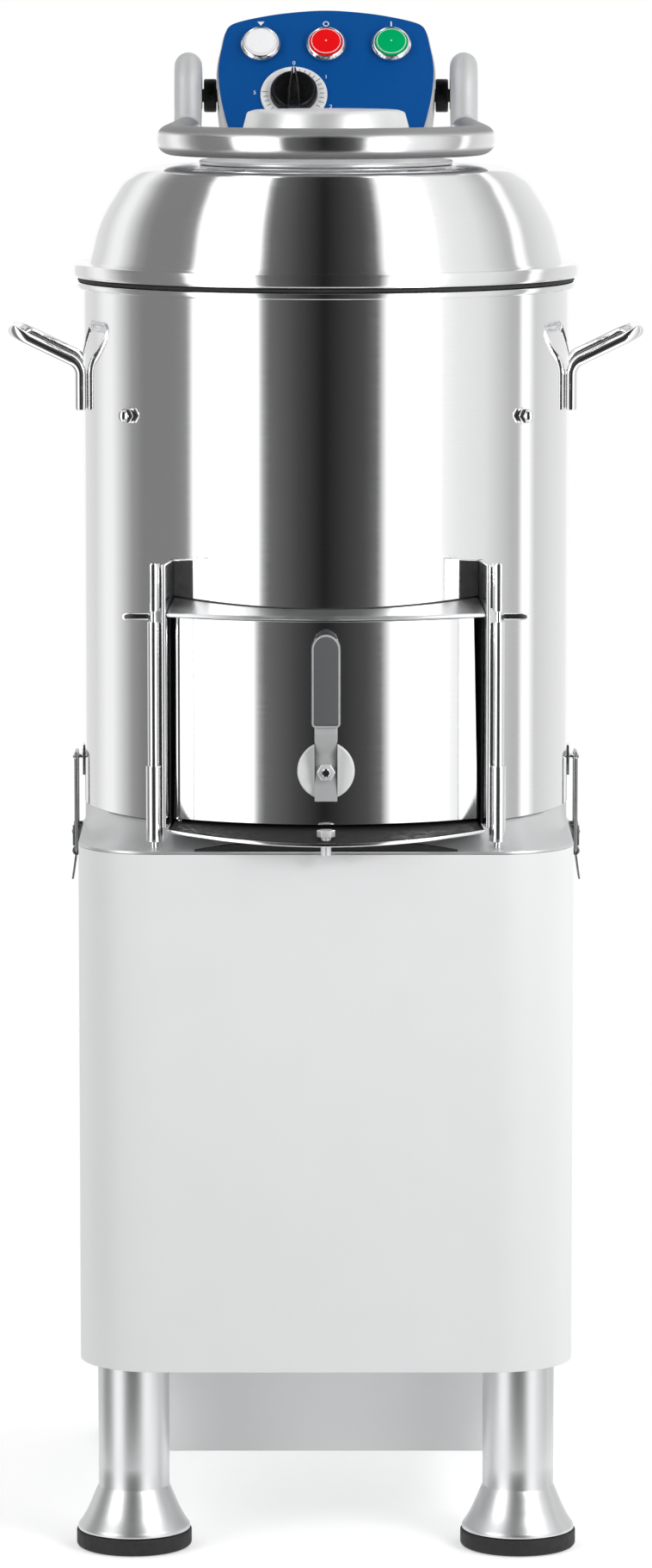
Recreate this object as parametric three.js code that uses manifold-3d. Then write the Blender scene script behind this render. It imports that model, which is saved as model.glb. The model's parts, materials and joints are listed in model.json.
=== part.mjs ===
// A floor-standing potato peeler: a steel drum on a boxed cabinet with four legs, a domed lid on a bent
// tube handle, a discharge door in the drum's front, and a tilted control head on a column behind.
// Millimetres, +Z up, front towards -Y. While it is built, the drum's axis is X = Y = 0, the floor Z = 0.
import * as THREE from "three";
import { mergeVertices } from "three/addons/utils/BufferGeometryUtils.js";
import Module from "manifold-3d";

const wasm = await Module();
wasm.setup();

// Clearances and the overrun of every cut
const seatGap = 0.3; // between pieces that touch on the real machine
const runGap = 0.5; // round a piece that turns or slides
const overrun = 6;
const weld = 0.001;

// Each table holds a piece's own sizes. Its places that follow from other pieces come after the tables.

// Cabinet, deck and legs
const cabinet = { frontMargin: 15, rearMargin: 95, corner: 56, wall: 1.5, bottom: 138, top: 507 };
const deck = { plate: 1.7, rise: 15.7, ledge: 25, sheet: 2, inset: 0.5, openingInset: 15 };
const chassis = { lift: 12, thickness: 3 };
const vent = { width: 110, height: 6, pitch: 14, lowest: 112 };
const ventRows = 8;
const guard = { inset: 50, front: 60, rear: 160, drop: 98.5, wall: 1.5 };
const leg = {
  radius: 25.4, wall: 2, inset: 37.6, rearTuck: 8, frontInset: 60, rearInset: 55, flangeRadius: 34, flange: 4,
};
const flare = { radius: 40, height: 32, lip: 3 };
const foot = { height: 12, radius: 41.2, round: 3, plugRadius: 22.5, plugHeight: 26 };

// Drum, its liner and the fittings at its back
const drum = { radius: 175, wall: 2.5, height: 375, base: 3, boreRadius: 30 };
const bead = { reach: 4.5, height: 5 };
const mouth = { inset: 9.5, lift: 62, height: 79 };
const liner = { wall: 2, lift: 65, drop: 28 };
const outlet = { radius: 25, wall: 2.5, inset: 57, back: 20, drop: 68, bend: 36, spout: 30 };
const inlet = { radius: 8, wall: 1.5, length: 34, drop: 46, flangeRadius: 15, flange: 4 };
const inletAngle = THREE.MathUtils.degToRad(150);
const gland = { radius: 12, bore: 4, length: 18, flangeRadius: 15, flange: 4, inset: 55, lift: 52, nut: 6 };
const glandTaperShare = 0.7;

// Peeling disc and its drive
const disc = { clear: 8, lift: 59, rim: 8, hubRadius: 35, hubLift: 19 };
const ridge = { width: 26, height: 7, inner: 26, inset: 17 };
const ridgeCount = 3;
const sweeper = { inner: 30, inset: 17, height: 26, thickness: 4 };
const shaft = { radius: 12.5, lift: 45, drop: 102 };
const bearing = { radius: 28, drop: 61, flangeRadius: 45, flange: 7.5, neck: 11 };
const pulley = { inset: 100, smallRadius: 30, drop: 94, height: 24, groove: 8, grooveWidth: 12, hub: 20 };
const belt = { height: 8.4, depth: 6.2 };
const motor = {
  inset: 95, radius: 62, standoff: 50, capHeight: 34, capRadius: 56, shaftRadius: 9.5, socket: 38,
};
const bracket = { sideGap: 18, halfDepth: 70, drop: 107, plate: 4, boreRadius: 16 };
const conduit = { width: 46, height: 60, depth: 30 };

// Discharge chute, door and lever
const chute = { inset: 67.5, flare: 4.5, setback: 1, plate: 3, lift: 0.4, height: 185.6 };
const hood = { endDrop: 25.4, middleDrop: 31, frontDrop: 34.3, overhang: 22, sheet: 3 };
const tray = { lift: 3.6, endDrop: 0.8, middleDrop: 5.9, overhang: 37, sheet: 2.5 };
const door = { standoff: 12, wall: 2, clear: 1.4, taper: 3 };
const knuckle = { radius: 3.6, pin: 1.6, sideInset: 1.4, inset: 2.95, depth: 7 };
const guide = {
  out: 5.6, inset: 5, bore: 3, topRadius: 4.4, midRadius: 4.2, lowRadius: 5.5, lowLength: 53.5, lift: 6.5,
};
const slideBolt = { radius: 2.5, handleDrop: 37, reach: 17, travel: 24, dip: 2, above: 10, lift: 1 };
const lever = {
  lift: 38.5, width: 16, plate: 3, tail: 21, joggleStart: 12, joggleEnd: 27, joggle: 9, top: 94,
};
const grip = { width: 20.4, thickness: 7, bottom: 32, top: 97 };
const spindle = {
  radius: 5, discRadius: 20, disc: 4, nutRadius: 5.8, nut: 5, stud: 3, studRadius: 3, tongueWidth: 12,
};
const tongue = { length: 32, thickness: 2.5, clear: 3.5 };
const stopBolt = { headRadius: 5.8, head: 5, radius: 3.6, length: 13, inset: 8 };

// Lid, its hub and handle
const lid = { overhang: 7, lift: 3, flange: 10, inset: 4, height: 80, wall: 1.5 };
const seal = { inset: 1.5, overhang: 3.5 };
const hub = {
  discRadius: 91, disc: 7, rim: 3, neckRadius: 26, capRadius: 61, capTopRadius: 55, cap: 11, crown: 21,
};
const hubSlopeShare = 0.82;
const tube = {
  radius: 10.3, ringRadius: 111, lift: 18, sideGap: 22.6, archRadius: 14, archRise: 48, tail: 12,
};
const crossbar = { radius: 6 };

// Control column and head, with sizes up the face (y) and out of it (z) from the dial's centre
const column = { halfWidth: 50, behind: 14, depth: 50, wall: 2 };
const head = { behind: 25, lift: 44.5, plate: 3, depth: 48, wall: 2, lip: 1.4 };
const face = {
  top: 78, shoulder: 64, widest: 20, bottom: 45, topHalf: 73, widestHalf: 80.6, bottomHalf: 67, round: 8,
};
const hinge = { up: 18.7, back: 27, radius: 5, bushRadius: 12.5, bushGap: 1 };
const headTilt = THREE.MathUtils.degToRad(36);
const button = {
  up: 45, pitch: 49, bezelRadius: 15, bezelTop: 6, bodyRadius: 10.9, bodyDepth: 36, capRadius: 12.2, rim: 1.2,
};
const buttonStem = { radius: 8.4, depth: 12, travel: 3 };
const dial = { side: 24, radius: 25, ring: 2, bossRadius: 10, bodyHalf: 19, bodyDepth: 14, stemRadius: 3 };
const knob = { radius: 18, skirt: 7, gripWidth: 9, gripLength: 35, gripHeight: 16 };

// Side handles and toggle latches
const sideHandle = { rod: 4, halfSpan: 36, drop: 91, bendDrop: 58, overhang: 49, bend: 12 };
const sideHandleRise = THREE.MathUtils.degToRad(25.6);
const latchPin = { radius: 1.5, out: 6, drop: 8 };
const latch = {
  halfWidth: 12, plate: 1.5, below: 29, above: 6, ear: 8.5, earWidth: 1.6, earBelow: 10, earAbove: 5,
};
const latchLever = { halfWidth: 9.8, plate: 1.4, tail: 35, kick: 3 };
const bail = { radius: 1.3, halfWidth: 14.4, drop: 14, lift: 33, bend: 4, gap: 2 };
const keeper = { halfWidth: 8, below: 16, above: 6, plate: 1.6, reach: 9, shelf: 2 };

// Places that follow from other pieces: plans from the drum's radius, heights from the cabinet's top
cabinet.width = 2 * drum.radius;
cabinet.front = drum.radius + cabinet.frontMargin;
cabinet.rear = drum.radius + cabinet.rearMargin;
chassis.height = cabinet.bottom + chassis.lift;
guard.halfWidth = cabinet.width / 2 - guard.inset;
guard.bottom = chassis.height - guard.drop;
leg.frontHalf = cabinet.width / 2 - leg.inset;
leg.rearHalf = leg.frontHalf - leg.rearTuck;
leg.front = cabinet.front - leg.frontInset;
leg.rear = cabinet.rear - leg.rearInset;
deck.shoulderTop = cabinet.top + deck.rise;
deck.opening = drum.radius - deck.openingInset;

drum.bottom = deck.shoulderTop + seatGap;
drum.top = drum.bottom + drum.height;
chute.rearHalf = drum.radius - chute.inset;
chute.frontHalf = chute.rearHalf + chute.flare;
mouth.halfWidth = chute.rearHalf - mouth.inset;
mouth.bottom = drum.bottom + mouth.lift;
mouth.top = mouth.bottom + mouth.height;
liner.bottom = drum.bottom + liner.lift;
liner.top = drum.top - liner.drop;
outlet.side = drum.radius - outlet.inset;
inlet.height = drum.top - inlet.drop;
gland.side = cabinet.width / 2 - gland.inset;
gland.height = cabinet.bottom + gland.lift;
vent.bottom = cabinet.bottom + vent.lowest;

disc.radius = drum.radius - disc.clear;
disc.top = drum.bottom + disc.lift;
disc.hubBottom = drum.bottom + disc.hubLift;
ridge.outer = disc.radius - ridge.inset;
sweeper.outer = disc.radius - sweeper.inset;
shaft.top = drum.bottom + shaft.lift;
shaft.bottom = cabinet.top - shaft.drop;
bearing.bottom = cabinet.top - bearing.drop;
pulley.radius = drum.radius - pulley.inset;
pulley.bottom = cabinet.top - pulley.drop;
bracket.plateTop = cabinet.top - bracket.drop;
motor.centre = cabinet.rear - motor.inset;
motor.bottom = chassis.height + chassis.thickness + motor.standoff;
bracket.halfWidth = outlet.side - outlet.radius - bracket.sideGap;
bracket.front = motor.centre - bracket.halfDepth;
bracket.rear = motor.centre + bracket.halfDepth;

chute.front = drum.radius - chute.setback;
chute.bottom = drum.bottom + chute.lift;
chute.top = chute.bottom + chute.height;
hood.rearEnd = chute.top - hood.endDrop;
hood.rearMiddle = chute.top - hood.middleDrop;
hood.front = chute.top - hood.frontDrop;
hood.reach = drum.radius + hood.overhang;
tray.rear = chute.bottom + tray.lift;
tray.frontEnd = chute.bottom - tray.endDrop;
tray.frontMiddle = chute.bottom - tray.middleDrop;
tray.reach = drum.radius + tray.overhang;
door.radius = drum.radius + door.standoff;
door.bottom = tray.rear + runGap;
door.top = hood.front - hood.sheet - door.clear;
door.bottomHalf = chute.rearHalf - runGap;
door.topHalf = door.bottomHalf - door.taper;
knuckle.side = door.topHalf - knuckle.sideInset;
knuckle.back = Math.sqrt((door.radius - knuckle.inset) ** 2 - knuckle.side ** 2);
guide.side = chute.frontHalf + chute.plate + guide.out;
guide.back = chute.front - guide.inset;
guide.bottom = cabinet.top + guide.lift;
guide.lowTop = guide.bottom + guide.lowLength;
slideBolt.handle = chute.top - slideBolt.handleDrop;
slideBolt.bottom = cabinet.top - slideBolt.dip;
slideBolt.top = slideBolt.handle + slideBolt.above;
lever.pivot = door.bottom + lever.lift;

lid.radius = drum.radius - lid.inset;
lid.flangeRadius = drum.radius + lid.overhang;
lid.flangeBottom = drum.top + lid.lift;
lid.top = lid.flangeBottom + lid.height;
seal.inner = drum.radius - seal.inset;
seal.outer = drum.radius + seal.overhang;
tube.height = lid.top + tube.lift;
tube.archTop = tube.height + tube.archRise;
tube.armHalf = face.widestHalf + tube.sideGap;
hub.top = tube.height + hub.crown;
head.dialBack = drum.radius + head.behind;
head.dialHeight = lid.top + head.lift;
column.front = head.dialBack + column.behind;
column.rear = column.front + column.depth;

sideHandle.bottom = drum.top - sideHandle.drop;
sideHandle.bendHeight = drum.top - sideHandle.bendDrop;
sideHandle.reach = drum.radius + sideHandle.overhang;
latchPin.height = cabinet.top - latchPin.drop;
latch.bottom = latchPin.height - latch.below;
latch.top = latchPin.height + latch.above;
latch.earBottom = latchPin.height - latch.earBelow;
latch.earTop = latchPin.height + latch.earAbove;
bail.top = drum.bottom + bail.lift;
keeper.bottom = bail.top - keeper.below;
keeper.top = bail.top + keeper.above;

// Counts of sides, steps and rows
const drumSides = 48;
const lidSides = 48;
const hubSides = 24;
const coreSides = 96;
const roundSides = 20;
const smallSides = 12;
const rodSides = 8;
const hexSides = 6;
const bendSteps = 6;
const rodBendSteps = 4;
const wireBendSteps = 3;
const ringSteps = 10;
const deckRows = 6;
const sheetRows = 4;
const doorRows = 3;

const stainless = (color, roughness) => new THREE.MeshStandardMaterial({ color, roughness, metalness: 1 });
const plastic = (color, roughness) => new THREE.MeshStandardMaterial({ color, roughness, metalness: 0 });
const finish = {
  polished: stainless(0xd9dadc, 0.12),
  satin: stainless(0xc4c6c8, 0.32),
  sheet: plastic(0xe9eaeb, 0.5),
  deckSheet: stainless(0xbfc1c4, 0.3),
  cast: stainless(0xa9abad, 0.5),
  zinc: stainless(0xcfd1d2, 0.35),
  rubber: plastic(0x16171a, 0.8),
  black: plastic(0x101113, 0.45),
  blue: plastic(0x0b4590, 0.45),
  housing: plastic(0xb9bbbd, 0.45),
  leverGrip: plastic(0x5c5e60, 0.6),
  abrasive: plastic(0x4a4744, 0.95),
  motorPaint: plastic(0x51606e, 0.5),
  dialRing: plastic(0xdfe1e3, 0.4),
  whiteLens: plastic(0xf7f7f7, 0.25),
  redLens: plastic(0xee2222, 0.25),
  greenLens: plastic(0x0aa868, 0.25),
};

// Welded, position-only copy of a geometry with its faces pointing out.
function closed(geometry) {
  const bare = new THREE.BufferGeometry();
  const loose = geometry.index ? geometry.toNonIndexed() : geometry;
  bare.setAttribute("position", loose.getAttribute("position"));
  const joined = mergeVertices(bare, weld);
  const corner = (i) => new THREE.Vector3().fromBufferAttribute(
    joined.attributes.position, joined.index.array[i],
  );
  const faces = [];
  let volume = 0;
  for (let i = 0; i < joined.index.count; i += 3) {
    const [a, b, c] = joined.index.array.slice(i, i + 3);
    if (a === b || b === c || c === a) continue;
    faces.push([a, b, c]);
    volume += corner(i).dot(corner(i + 1).cross(corner(i + 2)));
  }
  joined.setIndex(faces.flatMap(([a, b, c]) => (volume < 0 ? [a, c, b] : [a, b, c])));
  return joined;
}

function solidOf(geometry) {
  const { attributes, index } = closed(geometry);
  const mesh = {
    numProp: 3, vertProperties: attributes.position.array, triVerts: new Uint32Array(index.array),
  };
  return new wasm.Manifold(new wasm.Mesh(mesh));
}

function geometryOf(solid) {
  const { vertProperties, triVerts } = solid.getMesh();
  const geometry = new THREE.BufferGeometry();
  geometry.setAttribute("position", new THREE.BufferAttribute(vertProperties, 3));
  return geometry.setIndex(new THREE.BufferAttribute(triVerts, 1));
}

const join = (...pieces) => geometryOf(pieces.map(solidOf).reduce((whole, next) => whole.add(next)));
const cut = (body, ...tools) => geometryOf(tools.map(solidOf).reduce(
  (rest, next) => rest.subtract(next), solidOf(body),
));

// Turned piece about Z from [radius, height] pairs, which start and end on the axis or close on themselves.
function turned(profile, segments) {
  const points = profile.map(([radius, height]) => new THREE.Vector2(radius, height));
  return new THREE.LatheGeometry(points, segments).rotateX(Math.PI / 2);
}
const ringOf = (inner, outer, bottom, top, segments) =>
  turned([[inner, bottom], [outer, bottom], [outer, top], [inner, top], [inner, bottom]], segments);
const rodOf = (radius, bottom, top, segments) =>
  turned([[0, bottom], [radius, bottom], [radius, top], [0, top]], segments);

const outlineOf = (points) => new THREE.Shape(points.map(([x, y]) => new THREE.Vector2(x, y)));
const prism = (outline, depth, curveSegments = bendSteps) =>
  new THREE.ExtrudeGeometry(outline, { depth, bevelEnabled: false, curveSegments });
function block(x0, x1, y0, y1, z0, z1) {
  const box = new THREE.BoxGeometry(x1 - x0, y1 - y0, z1 - z0);
  return box.translate((x0 + x1) / 2, (y0 + y1) / 2, (z0 + z1) / 2);
}
// A profile drawn in Y and Z, given a width that is centred on X = 0.
function acrossX(points, width) {
  const axes = new THREE.Matrix4().makeBasis(
    new THREE.Vector3(0, 1, 0), new THREE.Vector3(0, 0, 1), new THREE.Vector3(1, 0, 0),
  );
  return prism(outlineOf(points), width).applyMatrix4(axes).translate(-width / 2, 0, 0);
}

// Rounds the corners of a polyline in space with arcs, and returns its points.
function roundedPath(points, radius, steps) {
  const path = [points[0]];
  for (let i = 1; i < points.length - 1; i++) {
    const [before, at, after] = [points[i - 1], points[i], points[i + 1]];
    const back = before.clone().sub(at).normalize();
    const on = after.clone().sub(at).normalize();
    const half = back.angleTo(on) / 2;
    const reach = radius / Math.tan(half);
    const toCentre = back.clone().add(on).normalize();
    const centre = at.clone().addScaledVector(toCentre, radius / Math.sin(half));
    const start = at.clone().addScaledVector(back, reach).sub(centre);
    const normal = start.clone().cross(at.clone().addScaledVector(on, reach).sub(centre)).normalize();
    for (let k = 0; k <= steps; k++) {
      const turn = ((Math.PI - 2 * half) * k) / steps;
      path.push(start.clone().applyAxisAngle(normal, turn).add(centre));
    }
  }
  return [...path, points[points.length - 1]];
}
// Closed sheet between two surfaces of (u, v), both from 0 to 1; a looped sheet joins its ends in u.
function sheet(upper, lower, across, along, looped = false) {
  const positions = [];
  for (const surface of [upper, lower]) {
    for (let j = 0; j <= along; j++) {
      for (let i = 0; i <= across; i++) positions.push(...surface(
        (looped ? i % across : i) / across, j / along,
      ));
    }
  }
  const layer = (across + 1) * (along + 1);
  const at = (side, i, j) => side * layer + j * (across + 1) + i;
  const index = [];
  const quad = (a, b, c, d) => index.push(a, b, c, a, c, d);
  for (let j = 0; j < along; j++) {
    for (let i = 0; i < across; i++) {
      quad(at(0, i, j), at(0, i + 1, j), at(0, i + 1, j + 1), at(0, i, j + 1));
      quad(at(1, i, j), at(1, i, j + 1), at(1, i + 1, j + 1), at(1, i + 1, j));
    }
    if (looped) continue;
    quad(at(0, 0, j), at(0, 0, j + 1), at(1, 0, j + 1), at(1, 0, j));
    quad(at(0, across, j + 1), at(0, across, j), at(1, across, j), at(1, across, j + 1));
  }
  for (let i = 0; i < across; i++) {
    quad(at(0, i + 1, 0), at(0, i, 0), at(1, i, 0), at(1, i + 1, 0));
    quad(at(0, i, along), at(0, i + 1, along), at(1, i + 1, along), at(1, i, along));
  }
  const geometry = new THREE.BufferGeometry();
  geometry.setAttribute("position", new THREE.Float32BufferAttribute(positions, 3));
  return geometry.setIndex(index);
}
const mix = (from, to, share) => from + (to - from) * share;
const onCircle = (radius, side) => Math.sqrt(radius ** 2 - side ** 2);

// Round bar along a path of points with a ring of corners at each of them; with a bore it is a pipe.
function barAlong(path, radius, bars, bore = 0) {
  const last = path.length - 1;
  const pointAt = (i) => path[Math.min(Math.max(i, 0), last)];
  const tangents = path.map((_, i) => pointAt(i + 1).clone().sub(pointAt(i - 1)).normalize());
  const normals = [new THREE.Vector3(1, 0, 0)];
  if (Math.abs(tangents[0].x) > Math.SQRT1_2) normals[0].set(0, 1, 0);
  normals[0].cross(tangents[0]).normalize();
  for (let i = 1; i <= last; i++) {
    const turn = new THREE.Quaternion().setFromUnitVectors(tangents[i - 1], tangents[i]);
    normals.push(normals[i - 1].clone().applyQuaternion(turn));
  }
  const surface = (reach) => (u, v) => {
    const i = Math.round(v * last);
    const spoke = normals[i].clone().applyAxisAngle(tangents[i], u * 2 * Math.PI);
    return spoke.multiplyScalar(reach).add(path[i]).toArray();
  };
  return sheet(surface(radius), surface(bore), bars, last, true);
}

const machine = new THREE.Group();
function piece(name, geometry, material, parent = machine) {
  const mesh = new THREE.Mesh(closed(geometry), material);
  mesh.name = name;
  parent.add(mesh);
  return mesh;
}
function groupAt(x, y, z, parent = machine) {
  const group = new THREE.Group();
  group.position.set(x, y, z);
  parent.add(group);
  return group;
}
const sides = [["left", -1], ["right", 1]];

// Plan outline of the cabinet with its two front corners rounded, drawn an inset inside the outer skin.
function cabinetOutline(inset, rear = cabinet.rear) {
  const half = cabinet.width / 2 - inset;
  const front = -cabinet.front + inset;
  const radius = cabinet.corner - inset;
  const outline = new THREE.Shape();
  outline.moveTo(half, rear);
  outline.lineTo(-half, rear);
  outline.absarc(-half + radius, front + radius, radius, Math.PI, 1.5 * Math.PI);
  outline.absarc(half - radius, front + radius, radius, 1.5 * Math.PI, 2 * Math.PI);
  return outline;
}

function buildCabinet() {
  const height = cabinet.top - cabinet.bottom;
  const outer = prism(cabinetOutline(0), height, smallSides).translate(0, 0, cabinet.bottom);
  const hollow = prism(
    cabinetOutline(cabinet.wall, cabinet.rear + overrun), height + 2 * overrun, smallSides,
  );
  piece("cabinet_wrap", cut(outer, hollow.translate(0, 0, cabinet.bottom - overrun)), finish.sheet);

  const half = cabinet.width / 2 - cabinet.wall - seatGap;
  const panel = block(-half, half, cabinet.rear - cabinet.wall, cabinet.rear, cabinet.bottom, cabinet.top);
  const holes = Array.from({ length: ventRows }, (_, row) => {
    const z = vent.bottom + row * vent.pitch;
    return block(
      -vent.width / 2, vent.width / 2, cabinet.rear - overrun, cabinet.rear + overrun, z, z + vent.height,
    );
  });
  const outletHole = rodOf(outlet.radius + seatGap, -overrun, overrun, roundSides).rotateX(Math.PI / 2);
  outletHole.translate(-outlet.side, cabinet.rear, drum.bottom - outlet.drop);
  const glandHole = rodOf(gland.radius + seatGap, -overrun, overrun, smallSides).rotateX(Math.PI / 2);
  glandHole.translate(gland.side, cabinet.rear, gland.height);
  piece("rear_panel", cut(panel, ...holes, outletHole, glandHole), finish.sheet);

  const floor = prism(
    cabinetOutline(cabinet.wall + seatGap, cabinet.rear - cabinet.wall - seatGap), chassis.thickness,
    bendSteps,
  );
  piece("chassis_plate", floor.translate(0, 0, chassis.height), finish.satin);
}

// Distance from the drum's axis to the shoulder's foot, along a direction in plan.
function shoulderReach(angle) {
  const half = cabinet.width / 2 - deck.inset;
  const front = cabinet.front - deck.inset;
  const corner = cabinet.corner - deck.inset;
  const [dx, dy] = [Math.abs(Math.cos(angle)), Math.abs(Math.sin(angle))];
  const straight = Math.min(half / Math.max(dx, weld), front / Math.max(dy, weld));
  const [cx, cy] = [half - corner, front - corner];
  if (straight * dx <= cx || straight * dy <= cy) return straight;
  const along = dx * cx + dy * cy;
  return along + Math.sqrt(Math.max(corner ** 2 - (cx ** 2 + cy ** 2 - along ** 2), 0));
}

// Pressed deck: a flat plate with a raised, coved seat for the drum.
function buildDeck() {
  const bottom = cabinet.top + seatGap;
  const plate = prism(cabinetOutline(0), deck.plate, smallSides).translate(0, 0, bottom);
  const opening = rodOf(deck.opening, bottom - overrun, bottom + overrun, drumSides);
  const coveFoot = bottom + deck.plate / 2;
  const seatRows = 1 / deckRows;
  const surface = (inward, down) => (u, v) => {
    const angle = u * 2 * Math.PI;
    const share = Math.max((v - seatRows) / (1 - seatRows), 0);
    const onSeat = Math.min(v / seatRows, 1);
    const radius = v <= seatRows
      ? mix(drum.radius - deck.ledge, drum.radius - deck.inset, onSeat)
      : mix(drum.radius - deck.inset, shoulderReach(angle), share);
    const z = mix(coveFoot, deck.shoulderTop, (1 - share) ** 2);
    const reach = radius - inward;
    return [reach * Math.cos(angle), reach * Math.sin(angle), z - down * (1 - share)];
  };
  const shoulder = sheet(surface(0, 0), surface(deck.sheet, deck.sheet), drumSides, deckRows, true);
  const holes = sides.map(([, side]) =>
    rodOf(
      slideBolt.radius + runGap, bottom - overrun, guide.bottom, smallSides,
    ).translate(side * guide.side, -guide.back, 0),
  );
  piece("deck", cut(join(cut(plate, opening), shoulder), ...holes), finish.deckSheet);
}

function buildLegs() {
  const top = chassis.height - seatGap;
  const skirt = foot.height + seatGap;
  const flareShares = [[1, 0.09], [0.62, 0.36], [0.32, 0.66], [0.1, 0.9], [0, 1]];
  const spread = flare.radius - leg.radius;
  const outer = flareShares.map(([out, up]) => [leg.radius + spread * out, skirt + flare.height * up]);
  const inner = [...outer].reverse().map(([radius, height]) => [radius - leg.wall, height]);
  const profile = [
    [0, top], [0, top - leg.flange], [leg.radius - leg.wall, top - leg.flange], ...inner,
    [flare.radius - flare.lip, skirt], [flare.radius, skirt], ...outer,
    [leg.radius, top - leg.flange], [leg.flangeRadius, top - leg.flange], [leg.flangeRadius, top], [0, top],
  ];
  const padProfile = [
    [0, 0], [foot.radius - foot.round, 0], [foot.radius, foot.round], [
      foot.radius, foot.height - foot.round,
    ],
    [flare.radius - flare.lip / 2, foot.height], [foot.plugRadius, foot.height],
    [foot.plugRadius, foot.height + foot.plugHeight], [0, foot.height + foot.plugHeight],
  ];
  for (const [row, half, y] of [["front", leg.frontHalf, -leg.front], ["rear", leg.rearHalf, leg.rear]]) {
    for (const [name, side] of sides) {
      const place = groupAt(side * half, y, 0);
      piece(`leg_${row}_${name}`, turned(profile.slice(1), roundSides), finish.satin, place);
      piece(`foot_${row}_${name}`, turned(padProfile, roundSides), finish.rubber, place);
    }
  }
}

// Three-sided sheet guard that hangs from the chassis plate between the legs.
function buildGuard() {
  const top = chassis.height - seatGap;
  const outer = block(-guard.halfWidth, guard.halfWidth, -guard.front, guard.rear, guard.bottom, top);
  const inside = guard.halfWidth - guard.wall;
  const hollow = block(
    -inside, inside, -guard.front + guard.wall, guard.rear + overrun, guard.bottom - overrun, top + overrun,
  );
  piece("motor_guard", cut(outer, hollow), finish.sheet);
}

// Hook plate on the drum's side that the latch's wire loop pulls down on.
function keeperOn(side) {
  const wall = drum.radius;
  const plate = block(
    wall - drum.wall / 2, wall + keeper.plate, -keeper.halfWidth, keeper.halfWidth, keeper.bottom,
    keeper.top,
  );
  const shelfTop = bail.top - bail.radius - seatGap;
  const shelf = block(
    wall, wall + keeper.reach, -keeper.halfWidth, keeper.halfWidth, shelfTop - keeper.shelf, shelfTop,
  );
  const whole = join(plate, shelf);
  return side > 0 ? whole : whole.rotateZ(Math.PI);
}

function mouthCutter() {
  return block(
    -mouth.halfWidth, mouth.halfWidth, -drum.radius - overrun, -drum.radius / 2, mouth.bottom, mouth.top,
  );
}

function buildDrum() {
  const inner = drum.radius - drum.wall;
  const beadFoot = drum.top - bead.height;
  const crown = drum.radius + bead.reach;
  const profile = [
    [drum.boreRadius, drum.bottom], [drum.radius, drum.bottom], [drum.radius, beadFoot], [
      crown, beadFoot + bead.height / 4,
    ],
    [crown, drum.top - bead.height / 4], [drum.radius + bead.reach / 2, drum.top], [inner, drum.top],
    [inner, drum.bottom + drum.base], [drum.boreRadius, drum.bottom + drum.base],
    [drum.boreRadius, drum.bottom],
  ];
  const wasteHole = rodOf(
    outlet.radius - outlet.wall, drum.bottom - overrun, drum.bottom + overrun, roundSides,
  );
  const inletHole = rodOf(inlet.radius + seatGap, 0, drum.radius + overrun, smallSides);
  const shell = cut(
    turned(profile, drumSides), mouthCutter(),
    wasteHole.translate(-outlet.side, outlet.back, 0), inletPlace(inletHole),
  );
  piece("drum_shell", join(shell, ...sides.map(([, side]) => keeperOn(side))), finish.polished);

  const skin = inner - seatGap;
  const sleeve = ringOf(skin - liner.wall, skin, liner.bottom, liner.top, drumSides);
  piece("abrasive_liner", cut(sleeve, mouthCutter(), inletPlace(inletHole.clone())), finish.abrasive);
}

// Turns a piece made along +Z so that it points out of the drum's back at the water inlet.
function inletPlace(geometry) {
  const out = new THREE.Vector3(-Math.sin(inletAngle), -Math.cos(inletAngle), 0);
  const turn = new THREE.Quaternion().setFromUnitVectors(new THREE.Vector3(0, 0, 1), out);
  return geometry.clone().applyQuaternion(turn).translate(0, 0, inlet.height);
}

function buildPlumbing() {
  const wallOutside = drum.radius + seatGap;
  const bore = inlet.radius - inlet.wall;
  const nozzle = [
    [bore, drum.radius - drum.wall - liner.wall], [inlet.radius, drum.radius - drum.wall - liner.wall],
    [inlet.radius, wallOutside], [inlet.flangeRadius, wallOutside], [
      inlet.flangeRadius, wallOutside + inlet.flange,
    ],
    [inlet.radius, wallOutside + inlet.flange], [inlet.radius, drum.radius + inlet.length],
    [bore, drum.radius + inlet.length], [bore, drum.radius - drum.wall - liner.wall],
  ];
  piece("water_inlet", inletPlace(turned(nozzle, smallSides)), finish.zinc);

  const level = drum.bottom - outlet.drop;
  const route = [
    new THREE.Vector3(-outlet.side, outlet.back, drum.bottom - seatGap),
    new THREE.Vector3(-outlet.side, outlet.back, level),
    new THREE.Vector3(-outlet.side, cabinet.rear + outlet.spout, level),
  ];
  const pipe = barAlong(
    roundedPath(route, outlet.bend, bendSteps), outlet.radius, roundSides, outlet.radius - outlet.wall,
  );
  piece("waste_outlet", pipe, finish.satin);

  const back = cabinet.rear + seatGap;
  const body = [
    [gland.bore, -gland.nut], [gland.radius, -gland.nut], [gland.radius, 0], [gland.flangeRadius, 0],
    [gland.flangeRadius, gland.flange], [gland.radius, gland.flange], [
      gland.radius, gland.length * glandTaperShare,
    ],
    [gland.bore * 2, gland.length], [gland.bore, gland.length], [gland.bore, -gland.nut],
  ];
  const glandPiece = turned(body, smallSides).rotateX(-Math.PI / 2).translate(
    gland.side, back, gland.height,
  );
  piece("cable_gland", glandPiece, finish.black);
}

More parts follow.
